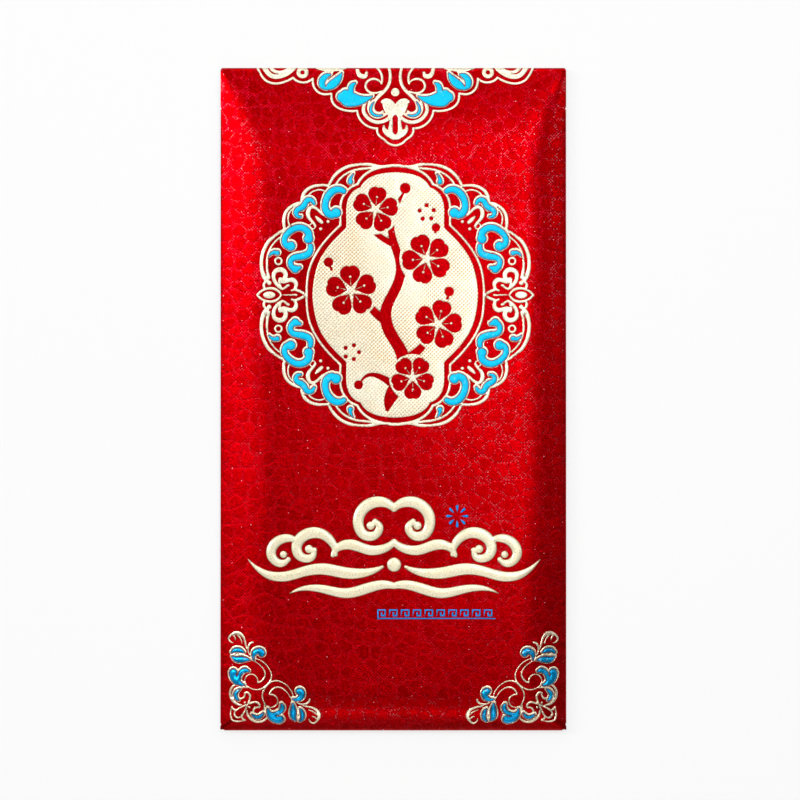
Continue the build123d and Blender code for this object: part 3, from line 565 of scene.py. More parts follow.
@dataclass(frozen=True)
class Pillow:
    """The outer face of the puffed front, in millimetres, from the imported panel's own box.

    Each wave has a height, its turns in radians per millimetre across and along, and a start.
    """

    rim_x: float
    south: float
    north: float
    crown_z: float
    side: FoldArc = FoldArc(radius=0.5, centre_z=1.55, slope=0.58)
    bottom: FoldArc = FoldArc(radius=0.75, centre_z=1.3, slope=0.83)
    top: FoldArc = FoldArc(radius=1.025, centre_z=1.025, slope=0.264)
    left_rounding: float = 4.2
    right_rounding: float = 3.6
    rounding_change: float = 40.0
    bottom_mitre: float = 0.25
    top_mitre: float = 2.0
    least_mitre: float = 0.05
    crown_drop: float = 0.6
    bulge: float = 0.45
    bulge_power: int = 3
    waves: tuple[tuple[float, float, float, float], ...] = (
        (0.09, 0.115, 0.041, 0.4),
        (0.07, -0.062, 0.088, 1.9),
        (0.05, 0.171, -0.124, 4.1),
    )

    @classmethod
    def from_panel(cls, node: str) -> "Pillow":
        """Read the box of a packed panel."""
        low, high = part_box(node)
        return cls(high.x / MM, low.y / MM, high.y / MM, high.z / MM)

    @property
    def edge_x(self) -> float:
        """Half the width at which the front enters the side folds."""
        return self.rim_x + self.side.reach

    @property
    def outer_x(self) -> float:
        """Half the width over the side folds."""
        return self.rim_x + self.side.radius

    @property
    def edge_south(self) -> float:
        """The place at which the front enters the bottom fold."""
        return self.south - self.bottom.reach

    @property
    def edge_north(self) -> float:
        """The place at which the front enters the top crease."""
        return self.north + self.top.reach

    def height(self, x: np.ndarray, y: np.ndarray) -> np.ndarray:
        """Give the height of the paper's outer face.

        Args:
            x: Places across the envelope.
            y: Places along the envelope.

        Returns:
            The heights, on the front and on the first part of the top crease.
        """
        base = self.side.entry_z
        across = self.side.slope * (self.edge_x - np.abs(x))
        from_south = self.bottom.entry_z - base + self.bottom.slope * (y - self.edge_south)
        from_north = self.top.entry_z - base + self.top.slope * (self.edge_north - y)
        mitre = np.clip((across + from_north) / 2.0, self.least_mitre, self.top_mitre)
        line = soft_min(soft_min(across, from_south, self.bottom_mitre), from_north, mitre)
        rightness = np.clip(0.5 + x / self.rounding_change, 0.0, 1.0)
        rounding = self.left_rounding + (self.right_rounding - self.left_rounding) * rightness
        crown = self.crown_z - self.crown_drop - base
        rise = soft_min(line, crown, rounding)
        share = np.clip(rise / crown, 0.0, 1.0)
        wave = sum(size * np.sin(u * x + v * y + start) for size, u, v, start in self.waves)
        bulge = self.bulge * np.cos(math.pi / 2.0 * x / self.edge_x)
        front = base + rise + (wave + bulge) * share**self.bulge_power
        past = np.clip(y - self.north, 0.0, self.top.radius)
        crease = self.top.centre_z + np.sqrt(self.top.radius**2 - past**2)
        return np.where(y > self.edge_north, crease, front)


def put(name: str, data: ID) -> Object:
    """Put an object into the scene.

    Args:
        name: The object's name.
        data: Its mesh, light or camera.

    Returns:
        The object, at the origin.
    """
    thing = bpy.data.objects.new(name, data)
    bpy.context.scene.collection.objects.link(thing)
    return thing


def shown_sheet(name: str, shape: BMesh, materials: tuple[Material, ...], thickness: float) -> Object:
    """Turn a finished sheet into an object with smooth shading and a thickness towards its inner side.

    Args:
        name: The piece's name.
        shape: The sheet's outer face in millimetres, which is freed.
        materials: The material of the outer side, and that of the inner side and edges where it differs.
        thickness: The thickness in millimetres, or 0 for a bare face.

    Returns:
        The object, at the origin.
    """
    bmesh.ops.scale(shape, vec=(MM, MM, MM), verts=shape.verts)
    mesh = bpy.data.meshes.new(name)
    shape.to_mesh(mesh)
    shape.free()
    mesh.polygons.foreach_set("use_smooth", [True] * len(mesh.polygons))
    for material in materials:
        mesh.materials.append(material)
    piece = put(name, mesh)
    if thickness:
        solid = piece.modifiers.new("paper", "SOLIDIFY")
        solid.thickness = thickness * MM
        solid.offset = -1.0
        solid.material_offset = solid.material_offset_rim = len(materials) - 1
    return piece


def face_outward(shape: BMesh, direction: Vector) -> None:
    """Turn a sheet's faces so that the farthest one in a direction looks that way.

    Args:
        shape: The sheet.
        direction: The direction.
    """
    shape.normal_update()
    farthest = max(shape.faces, key=lambda face: face.calc_center_median().dot(direction))
    if farthest.normal.dot(direction) < 0.0:
        bmesh.ops.reverse_faces(shape, faces=shape.faces)


def crisp_rims(shape: BMesh) -> None:
    """Keep the shading crisp along a sheet's cut edges."""
    for edge in shape.edges:
        edge.smooth = not edge.is_boundary


@dataclass(frozen=True)
class Relief:
    """How a foil rises: its height, the width over which it rounds, and the rows of points that shape it."""

    height: float
    shoulder: float
    rows: tuple[float, ...]
    grid: float = 2.5

    def lift(self, depth: np.ndarray) -> np.ndarray:
        """Give the heights of a foil's face at distances in from its outline."""
        share = np.clip(depth / self.shoulder, 0.0, 1.0)
        return self.height * np.sqrt(1.0 - (1.0 - share) ** 2)


class FoilRelief(Enum):
    """The kinds of relief."""

    LINE = Relief(height=0.26, shoulder=0.36, rows=(0.08, 0.18, 0.34))
    LEAF = Relief(height=0.42, shoulder=0.8, rows=(0.08, 0.2, 0.38, 0.6, 0.85))
    GROUND = Relief(height=0.22, shoulder=0.3, rows=(0.08, 0.2, 0.34))
    BAND = Relief(height=0.6, shoulder=1.0, rows=(0.08, 0.2, 0.4, 0.7, 1.0))
    FINE = Relief(height=0.2, shoulder=0.2, rows=(0.07, 0.16))
    THIN = Relief(height=0.22, shoulder=0.24, rows=(0.07, 0.15, 0.26))
    INLAY = Relief(height=0.1, shoulder=0.3, rows=(0.08, 0.2, 0.34))


@dataclass
class Outline:
    """The outline of a packed foil's shown face in plan, in millimetres."""

    node: Object
    side: FoilSide
    weld: float = 0.001
    shortest: float = 0.05
    spacing: float = 0.06
    least_facing: float = 0.3
    tiny: float = 1e-9
    longest_corner: float = 1.6
    cut_reach: float = 0.03
    angle_steps: int = 240
    least_cell: float = 0.11
    cell_share: float = 0.45
    clear_share: float = 0.93
    grid_share: float = 0.35

    def __post_init__(self) -> None:
        """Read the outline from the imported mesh."""
        shape = bmesh.new()
        shape.from_mesh(self.node.data)
        bmesh.ops.scale(shape, vec=(1.0 / MM,) * 3, verts=shape.verts)
        bmesh.ops.remove_doubles(shape, verts=shape.verts, dist=self.weld)
        shape.normal_update()
        hidden = [face for face in shape.faces if face.normal.z * self.side.value < self.least_facing]
        bmesh.ops.delete(shape, geom=hidden, context="FACES")
        bmesh.ops.scale(shape, vec=(1.0, 1.0, 0.0), verts=shape.verts)
        self.cover: BVHTree = BVHTree.FromBMesh(shape)
        rim = [vert for vert in shape.verts if vert.is_boundary]
        bmesh.ops.remove_doubles(shape, verts=rim, dist=self.shortest)
        self.places, self.edges = self.border(shape)
        shape.free()
        self.inward = self.inward_at_points()
        self.tree = self.sampled()

    def border(self, shape: BMesh) -> tuple[np.ndarray, list[tuple[int, int]]]:
        """Collect the border of a flat shape.

        Args:
            shape: The flat shape.

        Returns:
            The border's points, and its edges, each with the foil on its left.
        """
        shape.normal_update()
        index: dict[BMVert, int] = {}
        edges: list[tuple[int, int]] = []
        for edge in shape.edges:
            if not edge.is_boundary:
                continue
            loop = edge.link_loops[0]
            ends = [loop.vert, loop.link_loop_next.vert]
            if loop.face.normal.z < 0.0:
                ends.reverse()
            edges.append(tuple(index.setdefault(vert, len(index)) for vert in ends))
        return np.array([(vert.co.x, vert.co.y) for vert in index]), edges

    def inward_at_points(self) -> np.ndarray:
        """Find the directions into the foil.

        Returns:
            The direction at each point, longer at corners.
        """
        ends = np.array(self.edges)
        along = self.places[ends[:, 1]] - self.places[ends[:, 0]]
        along /= np.maximum(np.linalg.norm(along, axis=1, keepdims=True), self.tiny)
        normals = np.stack([-along[:, 1], along[:, 0]], axis=1)
        total = np.zeros_like(self.places)
        for end in (0, 1):
            np.add.at(total, ends[:, end], normals)
        length = np.maximum(np.linalg.norm(total, axis=1, keepdims=True), self.tiny)
        return total / length * np.clip(2.0 / length, 1.0, self.longest_corner)

    def sampled(self) -> KDTree:
        """Sample the outline for distances.

        Returns:
            A tree of the samples.
        """
        samples: list[np.ndarray] = []
        for start, end in self.edges:
            run = self.places[end] - self.places[start]
            count = max(1, int(np.ceil(np.linalg.norm(run) / self.spacing)))
            samples.extend(self.places[start] + run * step / count for step in range(count))
        tree = KDTree(len(samples))
        for number, sample in enumerate(samples):
            tree.insert((*sample, 0.0), number)
        tree.balance()
        return tree

    def holds(self, place: np.ndarray) -> bool:
        """Tell whether a place lies on the foil."""
        return self.cover.ray_cast(Vector((*place, 1.0)), DOWN)[0] is not None

    def depths(self, places: np.ndarray) -> np.ndarray:
        """Measure how far places lie inside the outline.

        Args:
            places: The places.

        Returns:
            Distances to the outline, negative outside it.
        """
        far = [self.tree.find((*place, 0.0))[2] for place in places]
        inside = [self.holds(place) for place in places]
        return np.where(inside, far, np.negative(far))

    def top_runs(self) -> list[Pair]:
        """Find where the outline is cut off along its top.

        Returns:
            The two ends of each stretch of the cut.
        """
        top = self.places[:, 1].max() - self.cut_reach
        cuts = [self.places[list(edge)] for edge in self.edges]
        spans = sorted((ends[:, 0].min(), ends[:, 0].max()) for ends in cuts if (ends[:, 1] > top).all())
        runs: list[Pair] = []
        for low, high in spans:
            if runs and low <= runs[-1][1] + self.cut_reach:
                runs[-1] = (runs[-1][0], max(runs[-1][1], high))
            else:
                runs.append((low, high))
        return runs

    def angle_step(self, away: np.ndarray) -> np.ndarray:
        """Count equal steps of angle from -pi to directions in the plan."""
        turn = np.arctan2(away[..., 1], away[..., 0]) + math.pi
        return (turn / math.tau * self.angle_steps).astype(int) % self.angle_steps

    def shares_inside(self, places: np.ndarray, edge: float) -> np.ndarray:
        """Tell how far places lie inside the outline's farthest reach from its middle.

        Args:
            places: The places.
            edge: The distance over which a share goes from 0 at the outline to 1.

        Returns:
            The shares.
        """
        middle = (self.places.min(axis=0) + self.places.max(axis=0)) / 2.0
        away = self.places - middle
        reach = np.zeros(self.angle_steps)
        np.maximum.at(reach, self.angle_step(away), np.linalg.norm(away, axis=1))
        away = places - middle
        return np.clip((reach[self.angle_step(away)] - np.linalg.norm(away, axis=1)) / edge, 0.0, 1.0)

    def inner_points(self, relief: Relief) -> np.ndarray:
        """Lay rows of points inside the outline, and a grid inside the rows.

        Args:
            relief: The rows' distances from the outline, and the grid's size.

        Returns:
            The points.
        """
        kept: list[np.ndarray] = []
        for row in relief.rows:
            cell = max(self.least_cell, self.cell_share * row)
            moved = self.places + self.inward * row
            _, first = np.unique(np.round(moved / cell).astype(int), axis=0, return_index=True)
            moved = moved[np.sort(first)]
            kept.append(moved[self.depths(moved) > self.clear_share * row])
        low = self.places.min(axis=0)
        high = self.places.max(axis=0)
        xs, ys = (np.arange(start, end, relief.grid) for start, end in zip(low, high))
        grid = np.stack(np.meshgrid(xs, ys), axis=-1).reshape(-1, 2)
        if len(grid):
            kept.append(grid[self.depths(grid) > relief.rows[-1] + self.grid_share * relief.grid])
        return np.concatenate(kept)


@dataclass
class EnvelopeSheet:
    """The folded sheet: the puffed front, the side glue flaps, the bottom fold and the back."""

    pillow: Pillow
    paper: float = 0.4
    columns: int = 116
    rows: int = 220
    fold_steps: int = 8
    side_south_inset: float = 0.4
    side_north_inset: float = 9.5
    tuck_width: float = 14.0
    tuck_taper: float = 9.0
    bottom_half: float = 43.4
    back_half: float = 43.0
    back_relief: float = 0.6
    back_length: float = 158.6
    back_rows: int = 16
    field_edge: float = 0.9
    touch: float = 0.001
    stands_for: tuple[str, ...] = (
        "front_panel", "back_panel", "bottom_fold",
        "left_side_fold", "right_side_fold", "left_glue_flap", "right_glue_flap",
    )

    @property
    def folds_south(self) -> float:
        """Where the side folds start."""
        return self.pillow.south + self.side_south_inset

    @property
    def folds_north(self) -> float:
        """Where the side folds end."""
        return self.pillow.north - self.side_north_inset

    def front(self, shape: BMesh, medallion: Outline) -> None:
        """Make the puffed front, and mark the plain paper inside the medallion.

        Args:
            shape: The shape to add it to.
            medallion: The outline of the medallion's frame.
        """
        pillow = self.pillow
        bmesh.ops.create_grid(shape, x_segments=self.columns, y_segments=self.rows, size=1.0)
        middle = (pillow.edge_north + pillow.edge_south) / 2.0
        half_length = (pillow.edge_north - pillow.edge_south) / 2.0
        half_column = 0.5 / self.columns
        for vert in shape.verts:
            at_rim = abs(vert.co.x) > 1.0 - half_column
            vert.co.y = middle + half_length * vert.co.y
            past_folds = not self.folds_south <= vert.co.y <= self.folds_north + self.paper
            vert.co.x *= pillow.outer_x if at_rim and past_folds else pillow.edge_x
        places = np.array([vert.co for vert in shape.verts])
        heights = pillow.height(places[:, 0], places[:, 1])
        shares = medallion.shares_inside(places[:, :2], self.field_edge)
        layer = shape.verts.layers.float.new(PLAIN_FIELD)
        for vert, z, share in zip(shape.verts, heights, shares):
            vert.co.z = float(z)
            vert[layer] = float(share)

    def rim_edges(self, shape: BMesh, axis: int, at: float, low: float, high: float) -> list[BMEdge]:
        """Find the edges of the front's rim along one side.

        Args:
            shape: The shape.
            axis: The axis across the side, 0 or 1.
            at: The side's place on that axis.
            low: The lowest place along the side.
            high: The highest place along the side.

        Returns:
            The edges.
        """
        found = []
        for edge in shape.edges:
            ends = [vert.co for vert in edge.verts]
            on_side = all(abs(end[axis] - at) < self.touch for end in ends)
            if on_side and all(low <= end[1 - axis] <= high for end in ends):
                found.append(edge)
        return found

    def roll(
        self, shape: BMesh, edges: list[BMEdge], arc: FoldArc, centre: Vector, axis: Vector
    ) -> list[BMEdge]:
        """Roll a rim round a fold, about an axis through a centre, and give the edges at its end."""
        rolled = bmesh.ops.spin(
            shape, geom=edges, cent=centre, axis=axis, dvec=(0.0, 0.0, 0.0),
            angle=math.pi - arc.entry, steps=self.fold_steps, use_duplicate=False)
        return [item for item in rolled["geom_last"] if isinstance(item, BMEdge)]

    def run_on(self, shape: BMesh, edges: list[BMEdge]) -> tuple[list[BMEdge], list[BMVert]]:
        """Carry a sheet on past an edge.

        Args:
            shape: The shape.
            edges: The edges to carry on.

        Returns:
            The new edges and the new points, which still lie on the old ones.
        """
        made = bmesh.ops.extrude_edge_only(shape, edges=edges)["geom"]
        points = [item for item in made if isinstance(item, BMVert)]
        new_edges = [item for item in made if isinstance(item, BMEdge)]
        return [edge for edge in new_edges if all(vert in points for vert in edge.verts)], points

    def side(self, shape: BMesh, hand: float) -> None:
        """Fold one side round and tuck its glue flap in.

        Args:
            shape: The shape.
            hand: -1 for the left side and 1 for the right side.
        """
        pillow = self.pillow
        rim = self.rim_edges(shape, 0, hand * pillow.edge_x, self.folds_south, self.folds_north)
        centre = Vector((hand * pillow.rim_x, 0.0, pillow.side.centre_z))
        _, points = self.run_on(shape, self.roll(shape, rim, pillow.side, centre, NORTH * hand))
        middle = (self.folds_south + self.folds_north) / 2.0
        half = (self.folds_north - self.folds_south) / 2.0
        for vert in points:
            vert.co.x -= hand * self.tuck_width
            vert.co.y = middle + (vert.co.y - middle) * (half - self.tuck_taper) / half

    def back(self, shape: BMesh) -> None:
        """Fold the bottom round and run the back up behind the front.

        Args:
            shape: The shape.
        """
        pillow = self.pillow
        rim = self.rim_edges(shape, 1, pillow.edge_south, -self.bottom_half, self.bottom_half)
        centre = Vector((0.0, pillow.south, pillow.bottom.centre_z))
        edges, points = self.run_on(shape, self.roll(shape, rim, pillow.bottom, centre, EAST))
        widest = max(abs(vert.co.x) for vert in points)
        for vert in points:
            vert.co.x *= self.back_half / widest
            vert.co.y += self.back_relief
        step = (self.back_length - self.back_relief) / self.back_rows
        for _ in range(self.back_rows):
            edges, points = self.run_on(shape, edges)
            bmesh.ops.translate(shape, vec=(0.0, step, 0.0), verts=points)

    def build(self, outer: Material, inner: Material, medallion: Outline) -> Object:
        """Make the folded sheet.

        Args:
            outer: The finish of its outer side.
            inner: The finish of its inner side and edges.
            medallion: The outline of the medallion's frame.

        Returns:
            The piece.
        """
        shape = bmesh.new()
        self.front(shape, medallion)
        for hand in (-1.0, 1.0):
            self.side(shape, hand)
        self.back(shape)
        bmesh.ops.recalc_face_normals(shape, faces=shape.faces)
        face_outward(shape, UP)
        crisp_rims(shape)
        piece = shown_sheet("envelope_sheet", shape, (outer, inner), self.paper)
        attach(piece, ENVELOPE_BODY)
        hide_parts(*self.stands_for)
        return piece


@dataclass
class ClosingFlap:
    """The flap with its crease, which runs on from the front and lies folded behind the envelope."""

    pillow: Pillow
    paper: float = 0.3
    face_z: float = 0.1
    half_width: float = 42.9
    length: float = 40.0
    taper: float = 8.0
    corner: float = 8.0
    columns: int = 60
    rows: int = 60
    tip_power: float = 2.2
    arc_rows: int = 18
    lap: float = 0.6
    lap_rise: float = 0.12
    lap_dip_share: float = 0.75
    crest_share: float = 0.48
    turn_height: float = 0.15
    stands_for: tuple[str, ...] = ("closing_flap", "top_crease")

    @property
    def arc_length(self) -> float:
        """The length of the crease from the front's edge to the flap."""
        return self.pillow.top.radius * (math.pi - self.pillow.top.entry)

    @property
    def crest(self) -> float:
        """The distance along the sheet at which it leaves the envelope for the flap."""
        return self.arc_length * self.crest_share

    def lap_lift(self, run: float) -> float:
        """Give the lap's height over the front, which is below the front's face at the lap's end."""
        share = -run / self.lap
        return self.lap_rise * share * (self.lap_dip_share - share)

    def path(self, run: float) -> tuple[Vector, Vector]:
        """Follow the sheet from the front's edge, round the crease and along the flap.

        Args:
            run: The distance along the sheet.

        Returns:
            The point in the middle of the sheet, and the direction out of its face.
        """
        top = self.pillow.top
        if run >= self.arc_length:
            return Vector((0.0, self.pillow.north + self.arc_length - run, self.face_z)), DOWN
        angle = top.entry + max(run, 0.0) / top.radius
        outward = Vector((0.0, math.sin(angle), math.cos(angle)))
        # The arc narrows on its way round, so that it ends at the height of the flap's face.
        fall = self.face_z / 4.0 * (1.0 - math.cos(angle))
        point = Vector((0.0, self.pillow.north, top.radius + fall)) + outward * (top.radius - fall)
        onward = Vector((0.0, outward.z, -outward.y))
        return point + onward * min(run, 0.0), outward

    def half_at(self, run: float) -> float:
        """Give half the sheet's width.

        Args:
            run: The distance along the sheet.

        Returns:
            Half the width there, with the rounded corners at the tip.
        """
        past = run - self.arc_length
        if past <= 0.0:
            share = min(-past / self.arc_length, 1.0)
            return self.half_width + (self.pillow.outer_x - self.half_width) * share
        short = max(self.corner - (self.length - past), 0.0)
        straight = self.half_width - self.taper * past / self.length
        return straight - self.corner + math.sqrt(self.corner**2 - short**2)

    def run_at(self, row: float) -> float:
        """Space the rows, closer together round the crease and towards the tip.

        Args:
            row: The row, counted from the front's edge.

        Returns:
            The row's distance along the sheet.
        """
        if row <= self.arc_rows:
            return (self.arc_length + self.lap) * row / self.arc_rows - self.lap
        left = 1.0 - (row - self.arc_rows) / self.rows
        return self.arc_length + self.length * (1.0 - left**self.tip_power)

    def bend(self, piece: Object) -> None:
        """Bake a piece's transform into its mesh.

        Args:
            piece: The piece.
        """
        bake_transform(piece)

    def build(self, outer: Material, inner: Material) -> Object:
        """Make the flap.

        Args:
            outer: The finish of its outer side.
            inner: The finish of its inner side and edges.

        Returns:
            The piece.
        """
        shape = bmesh.new()
        count = self.arc_rows + self.rows
        bmesh.ops.create_grid(shape, x_segments=self.columns, y_segments=count, size=1.0)
        flat = shape.verts.layers.float_vector.new(PatternPlace.FLAT_SHEET.value)
        for vert in shape.verts:
            run = self.run_at((1.0 + vert.co.y) / 2.0 * count)
            across = vert.co.x * self.half_at(run)
            vert.co = self.path(run)[0] + EAST * across
            if run < 0.0:
                front_z = self.pillow.height(np.array([across]), np.array([vert.co.y]))
                vert.co.z = float(front_z[0]) + self.lap_lift(run)
            vert[flat] = Vector((across, self.pillow.edge_north + run, 0.0)) * MM
        face_outward(shape, DOWN)
        crisp_rims(shape)
        piece = shown_sheet("flap_sheet", shape, (outer, inner), self.paper)
        self.bend(piece)
        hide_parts(*self.stands_for)
        return piece


@dataclass
class FoilStamp:
    """One stamped foil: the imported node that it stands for, its relief, finish, side and body."""

    node: str
    relief: FoilRelief
    finish: FoilFinish
    side: FoilSide = FoilSide.UP
    body: str = ENVELOPE_BODY
    sink: float = 0.03
    gauge: float = 0.04
    rim: float = 0.04
    join: float = 1e-4

    def build(self, outline: Outline, flap: ClosingFlap, finish: Material) -> Object:
        """Raise the foil from its outline, over the puffed front or on the closed flap.

        Args:
            outline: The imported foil's outline.
            flap: The flap, which holds the puffed front's shape.
            finish: The foil's material.

        Returns:
            The piece.
        """
        relief = self.relief.value
        points = np.concatenate([outline.places, outline.inner_points(relief)])
        flat = [Vector(point) for point in points]
        plan_points, _, faces, _, _, _ = delaunay_2d_cdt(flat, outline.edges, [], 0, self.join)
        plan = np.array([tuple(point) for point in plan_points])
        depth = np.clip(outline.depths(plan), 0.0, None)
        depth[depth < self.rim] = 0.0
        lift = relief.lift(depth) - np.where(depth > 0.0, 0.0, self.sink)
        paper_z = flap.pillow.height(plan[:, 0], plan[:, 1]) if self.side is FoilSide.UP else flap.face_z
        shape = bmesh.new()
        layer = shape.verts.layers.float.new(RIM_DEPTH)
        verts = []
        for (x, y), z, inward in zip(plan, paper_z + lift * self.side.value, depth):
            vert = shape.verts.new((float(x), float(y), float(z)))
            vert[layer] = float(inward)
            verts.append(vert)
        for face in faces:
            if outline.holds(plan[face].mean(axis=0)):
                shape.faces.new([verts[number] for number in face])
        loose = [vert for vert in shape.verts if not vert.link_faces]
        bmesh.ops.delete(shape, geom=loose, context="VERTS")
        shape.normal_update()
        turned = [face for face in shape.faces if face.normal.z * self.side.value < 0.0]
        bmesh.ops.reverse_faces(shape, faces=turned)
        piece = shown_sheet(f"{self.node}_relief", shape, (finish,), self.gauge)
        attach(piece, self.body)
        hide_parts(self.node)
        return piece


@dataclass
class CreaseFoil:
    """The part of a foil that runs round the top crease, on from the cut edge of a packed foil."""

    name: str
    node: str
    finish: FoilFinish
    flap: ClosingFlap
    start: float
    end: float
    lift: float = 0.05
    gauge: float = 0.04
    rows: int = 10
    columns: int = 3

    def build(self, outline: Outline, finish: Material) -> Object:
        """Carry each stretch of the cut edge round the crease.

        Args:
            outline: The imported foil's outline.
            finish: The foil's material.

        Returns:
            The piece.
        """
        shape = bmesh.new()
        layer = shape.verts.layers.float.new(RIM_DEPTH)
        for low, high in outline.top_runs():
            middle = (low + high) / 2.0
            half = (high - low) / 2.0
            made = bmesh.ops.create_grid(shape, x_segments=self.columns, y_segments=self.rows, size=1.0)
            for vert in made["verts"]:
                across = vert.co.x
                run = self.start + (self.end - self.start) * (1.0 + vert.co.y) / 2.0
                point, outward = self.flap.path(run)
                vert.co = point + outward * self.lift * (1.0 - across**2) + EAST * (middle + half * across)
                vert[layer] = half * (1.0 - abs(across))
        face_outward(shape, NORTH)
        piece = shown_sheet(self.name, shape, (finish,), self.gauge)
        self.flap.bend(piece)
        return piece


@dataclass(frozen=True)
class Lamp:
    """One soft lamp that looks at the envelope: its tilt from straight above in degrees, size and power."""

    name: str
    tilt_right: float
    tilt_north: float
    size: Pair
    power: float
    away: float = 1.35

    def build(self) -> Object:
        """Make the lamp.

        Returns:
            The lamp.
        """
        right, north = (math.tan(math.radians(tilt)) for tilt in (self.tilt_right, self.tilt_north))
        slope = Vector((right, north, 1.0))
        light = bpy.data.lights.new(self.name, "AREA")
        light.shape = "RECTANGLE"
        light.size, light.size_y = self.size
        light.energy = self.power
        lamp = put(self.name, light)
        lamp.location = slope.normalized() * self.away
        lamp.rotation_euler = (-slope).to_track_quat("-Z", "Y").to_euler()
        return lamp


@dataclass
class Studio:
    """The pale floor, the soft light and the camera."""

    floor_half: float = 3.0
    floor_z: float = -0.0002
    floor_colour: Colour = (0.9, 0.9, 0.9)
    shade_share: float = 0.25
    camera_range: float = 1.0
    camera_tilt: float = 0.5
    sensor_width: float = 36.0
    frame_width: float = 0.2033
    aim: tuple[float, float, float] = (0.0017, -0.0003, 0.003)
    world_strength: float = 0.14
    lamps: tuple[Lamp, ...] = (
        Lamp("key_lamp", 12.0, 20.0, (0.16, 0.16), 0.50, away=0.6),
        Lamp("right_top_lamp", 17.0, 5.0, (0.12, 0.20), 0.20, away=0.36),
        Lamp("left_top_lamp", -20.0, 15.0, (0.35, 0.35), 1.4),
        Lamp("left_middle_lamp", -35.0, 14.0, (0.3, 0.4), 2.6),
        Lamp("left_lamp", -57.0, 27.0, (0.3, 0.4), 6.4),
        Lamp("right_lamp", 55.0, 18.0, (0.3, 0.45), 1.2),
        Lamp("north_lamp", 0.0, 50.0, (0.7, 0.4), 2.5),
        Lamp("low_north_lamp", 0.0, 70.0, (0.7, 0.3), 2.0),
        Lamp("south_top_lamp", 0.0, -30.0, (0.8, 0.5), 1.0),
        Lamp("south_lamp", 0.0, -58.0, (0.7, 0.3), 1.6),
    )

    def background(self, board: Board) -> NodeSocket:
        """Tell which rays see the plain background.

        Args:
            board: The node tree.

        Returns:
            1 for rays from the camera and for mirrored or refracted rays, and otherwise 0.
        """
        rays = board.add("LightPath", {}).outputs
        seen = board.maths("MAXIMUM", rays["Is Camera Ray"], rays["Is Glossy Ray"])
        return board.maths("MAXIMUM", seen, rays["Is Transmission Ray"])

    def floor(self) -> None:
        """Make the pale floor, which shows white and keeps a soft shadow."""
        board = Board("pale_floor")
        plain = board.add("BsdfDiffuse", {"Color": (*self.floor_colour, 1.0)})
        white = board.add("Emission", {"Strength": 1.0})
        share = board.product(self.background(board), 1.0 - self.shade_share)
        finish = board.end(board.add("MixShader", {0: share, 1: plain.outputs[0], 2: white.outputs[0]}))
        shape = bmesh.new()
        bmesh.ops.create_grid(shape, x_segments=2, y_segments=2, size=self.floor_half / MM)
        bmesh.ops.translate(shape, vec=UP * (self.floor_z / MM), verts=shape.verts)
        shown_sheet("floor", shape, (finish,), 0.0)

    def world(self) -> None:
        """Make the plain white surroundings."""
        world = bpy.data.worlds.new("plain_room")
        bpy.context.scene.world = world
        world.use_nodes = True
        glow = world.node_tree.nodes["Background"]
        glow.inputs["Color"].default_value = (1.0, 1.0, 1.0, 1.0)
        glow.inputs["Strength"].default_value = self.world_strength

    def camera(self) -> None:
        """Make the camera, which looks down on the front."""
        data = bpy.data.cameras.new("camera")
        data.sensor_width = self.sensor_width
        data.lens = self.sensor_width * self.camera_range / self.frame_width
        camera = put("camera", data)
        tilt = math.radians(self.camera_tilt)
        away = Vector((0.0, -math.sin(tilt), math.cos(tilt)))
        camera.location = Vector(self.aim) + away * self.camera_range
        camera.rotation_euler = (tilt, 0.0, 0.0)
        bpy.context.scene.camera = camera

    def build(self) -> None:
        """Set the scene."""
        self.floor()
        self.world()
        self.camera()
        for lamp in self.lamps:
            lamp.build()
        bpy.context.scene.view_settings.view_transform = "Standard"


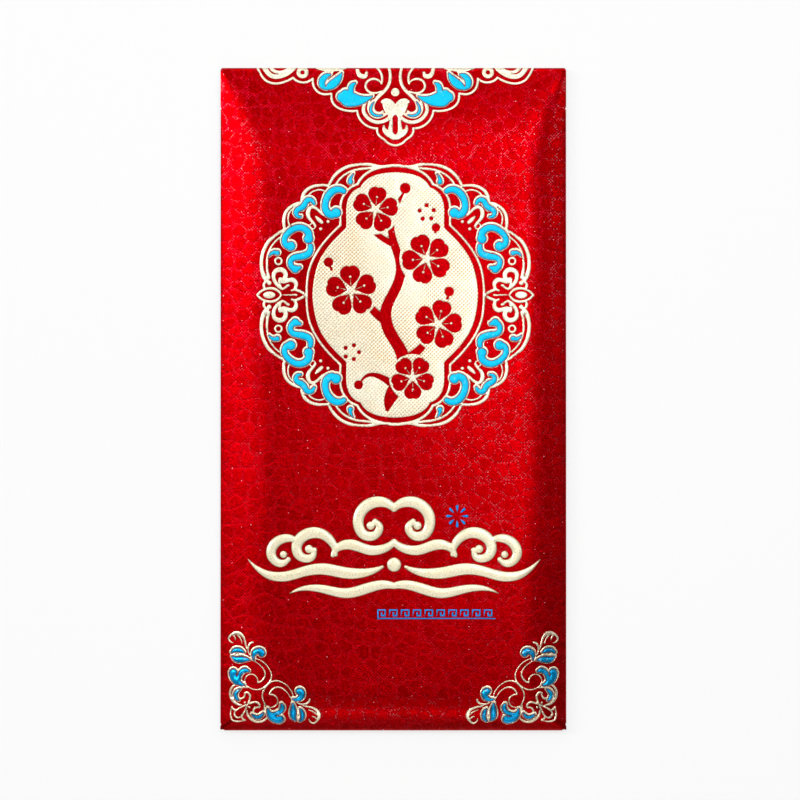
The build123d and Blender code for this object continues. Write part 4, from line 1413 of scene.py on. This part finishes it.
def foil_stamps() -> list[FoilStamp]:
    """List the foils.

    Returns:
        The foils with their reliefs and finishes.
    """
    flap_sink = 0.01
    stamps = [
        FoilStamp("medallion_gold_ground", FoilRelief.GROUND, FoilFinish.DIMPLED_GOLD),
        FoilStamp("medallion_gold_frame", FoilRelief.LINE, FoilFinish.GOLD),
        FoilStamp("medallion_blue_scrolls", FoilRelief.LEAF, FoilFinish.BLUE),
        FoilStamp("valance_gold", FoilRelief.LINE, FoilFinish.GOLD),
        FoilStamp("valance_blue", FoilRelief.LEAF, FoilFinish.BLUE),
        FoilStamp("gold_cloud_band", FoilRelief.BAND, FoilFinish.DOMED_GOLD),
        FoilStamp("blue_burst", FoilRelief.FINE, FoilFinish.LINE_BLUE),
        FoilStamp("blue_fret_line", FoilRelief.FINE, FoilFinish.LINE_BLUE),
    ]
    for tone, finish in (("gold", FoilFinish.GOLD), ("blue", FoilFinish.BLUE)):
        name = f"flap_{tone}_valance"
        stamps.append(FoilStamp(name, FoilRelief.INLAY, finish, FoilSide.DOWN, FLAP_BODY, flap_sink))
    for hand in ("left", "right"):
        stamps.append(FoilStamp(f"{hand}_corner_gold", FoilRelief.THIN, FoilFinish.SHADED_CORNER_GOLD))
        stamps.append(FoilStamp(f"{hand}_corner_blue", FoilRelief.LEAF, FoilFinish.SHADED_CORNER_BLUE))
    return stamps


def crease_foils(flap: ClosingFlap) -> list[CreaseFoil]:
    """List the foils that run round the crease.

    Args:
        flap: The flap with its crease.

    Returns:
        The foils, from the front's cut edge to the crest and from there to the flap.
    """
    north = flap.pillow.north
    top = flap.pillow.top
    front_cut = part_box("valance_gold")[1].y / MM
    flap_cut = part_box("flap_gold_valance")[1].y / MM
    start = top.radius * (math.asin((front_cut - north) / top.radius) - top.entry)
    end = flap.arc_length + north - flap_cut
    return [
        CreaseFoil("crease_gold_front", "valance_gold", FoilFinish.GOLD, flap, start, flap.crest),
        CreaseFoil("crease_gold_flap", "flap_gold_valance", FoilFinish.GOLD, flap, flap.crest, end),
        CreaseFoil("crease_blue_flap", "flap_blue_valance", FoilFinish.BLUE, flap, flap.crest, end),
    ]


def report(piece: Object) -> None:
    """Report a finished piece."""
    log.info("%s: %d faces", piece.name, len(piece.data.polygons))


def main() -> None:
    """Build the pieces in order and report each."""
    logging.basicConfig(level=logging.INFO, format="%(name)s: %(message)s")
    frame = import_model()
    pillow = Pillow.from_panel("front_panel")
    lining = PlainFinish.LINING.value.material()
    finishes = {finish: finish.value.material() for finish in FoilFinish}
    stamps = foil_stamps()
    outlines = {stamp.node: Outline(frame["nodes"][stamp.node], stamp.side) for stamp in stamps}
    front_paper = RedPaper(PatternPlace.OBJECT, PLAIN_FIELD).material()
    report(EnvelopeSheet(pillow).build(front_paper, lining, outlines["medallion_gold_frame"]))
    flap = ClosingFlap(pillow)
    report(flap.build(RedPaper(PatternPlace.FLAT_SHEET).material(), lining))
    for stamp in stamps:
        report(stamp.build(outlines[stamp.node], flap, finishes[stamp.finish]))
    for foil in crease_foils(flap):
        report(foil.build(outlines[foil.node], finishes[foil.finish]))
    glue = PlainFinish.GLUE.value.material()
    for name in ("left_glue_line", "right_glue_line"):
        node = frame["nodes"][name]
        node.data.materials.clear()
        node.data.materials.append(glue)
        report(node)
    Studio().build()


if __name__ == "__main__":
    main()
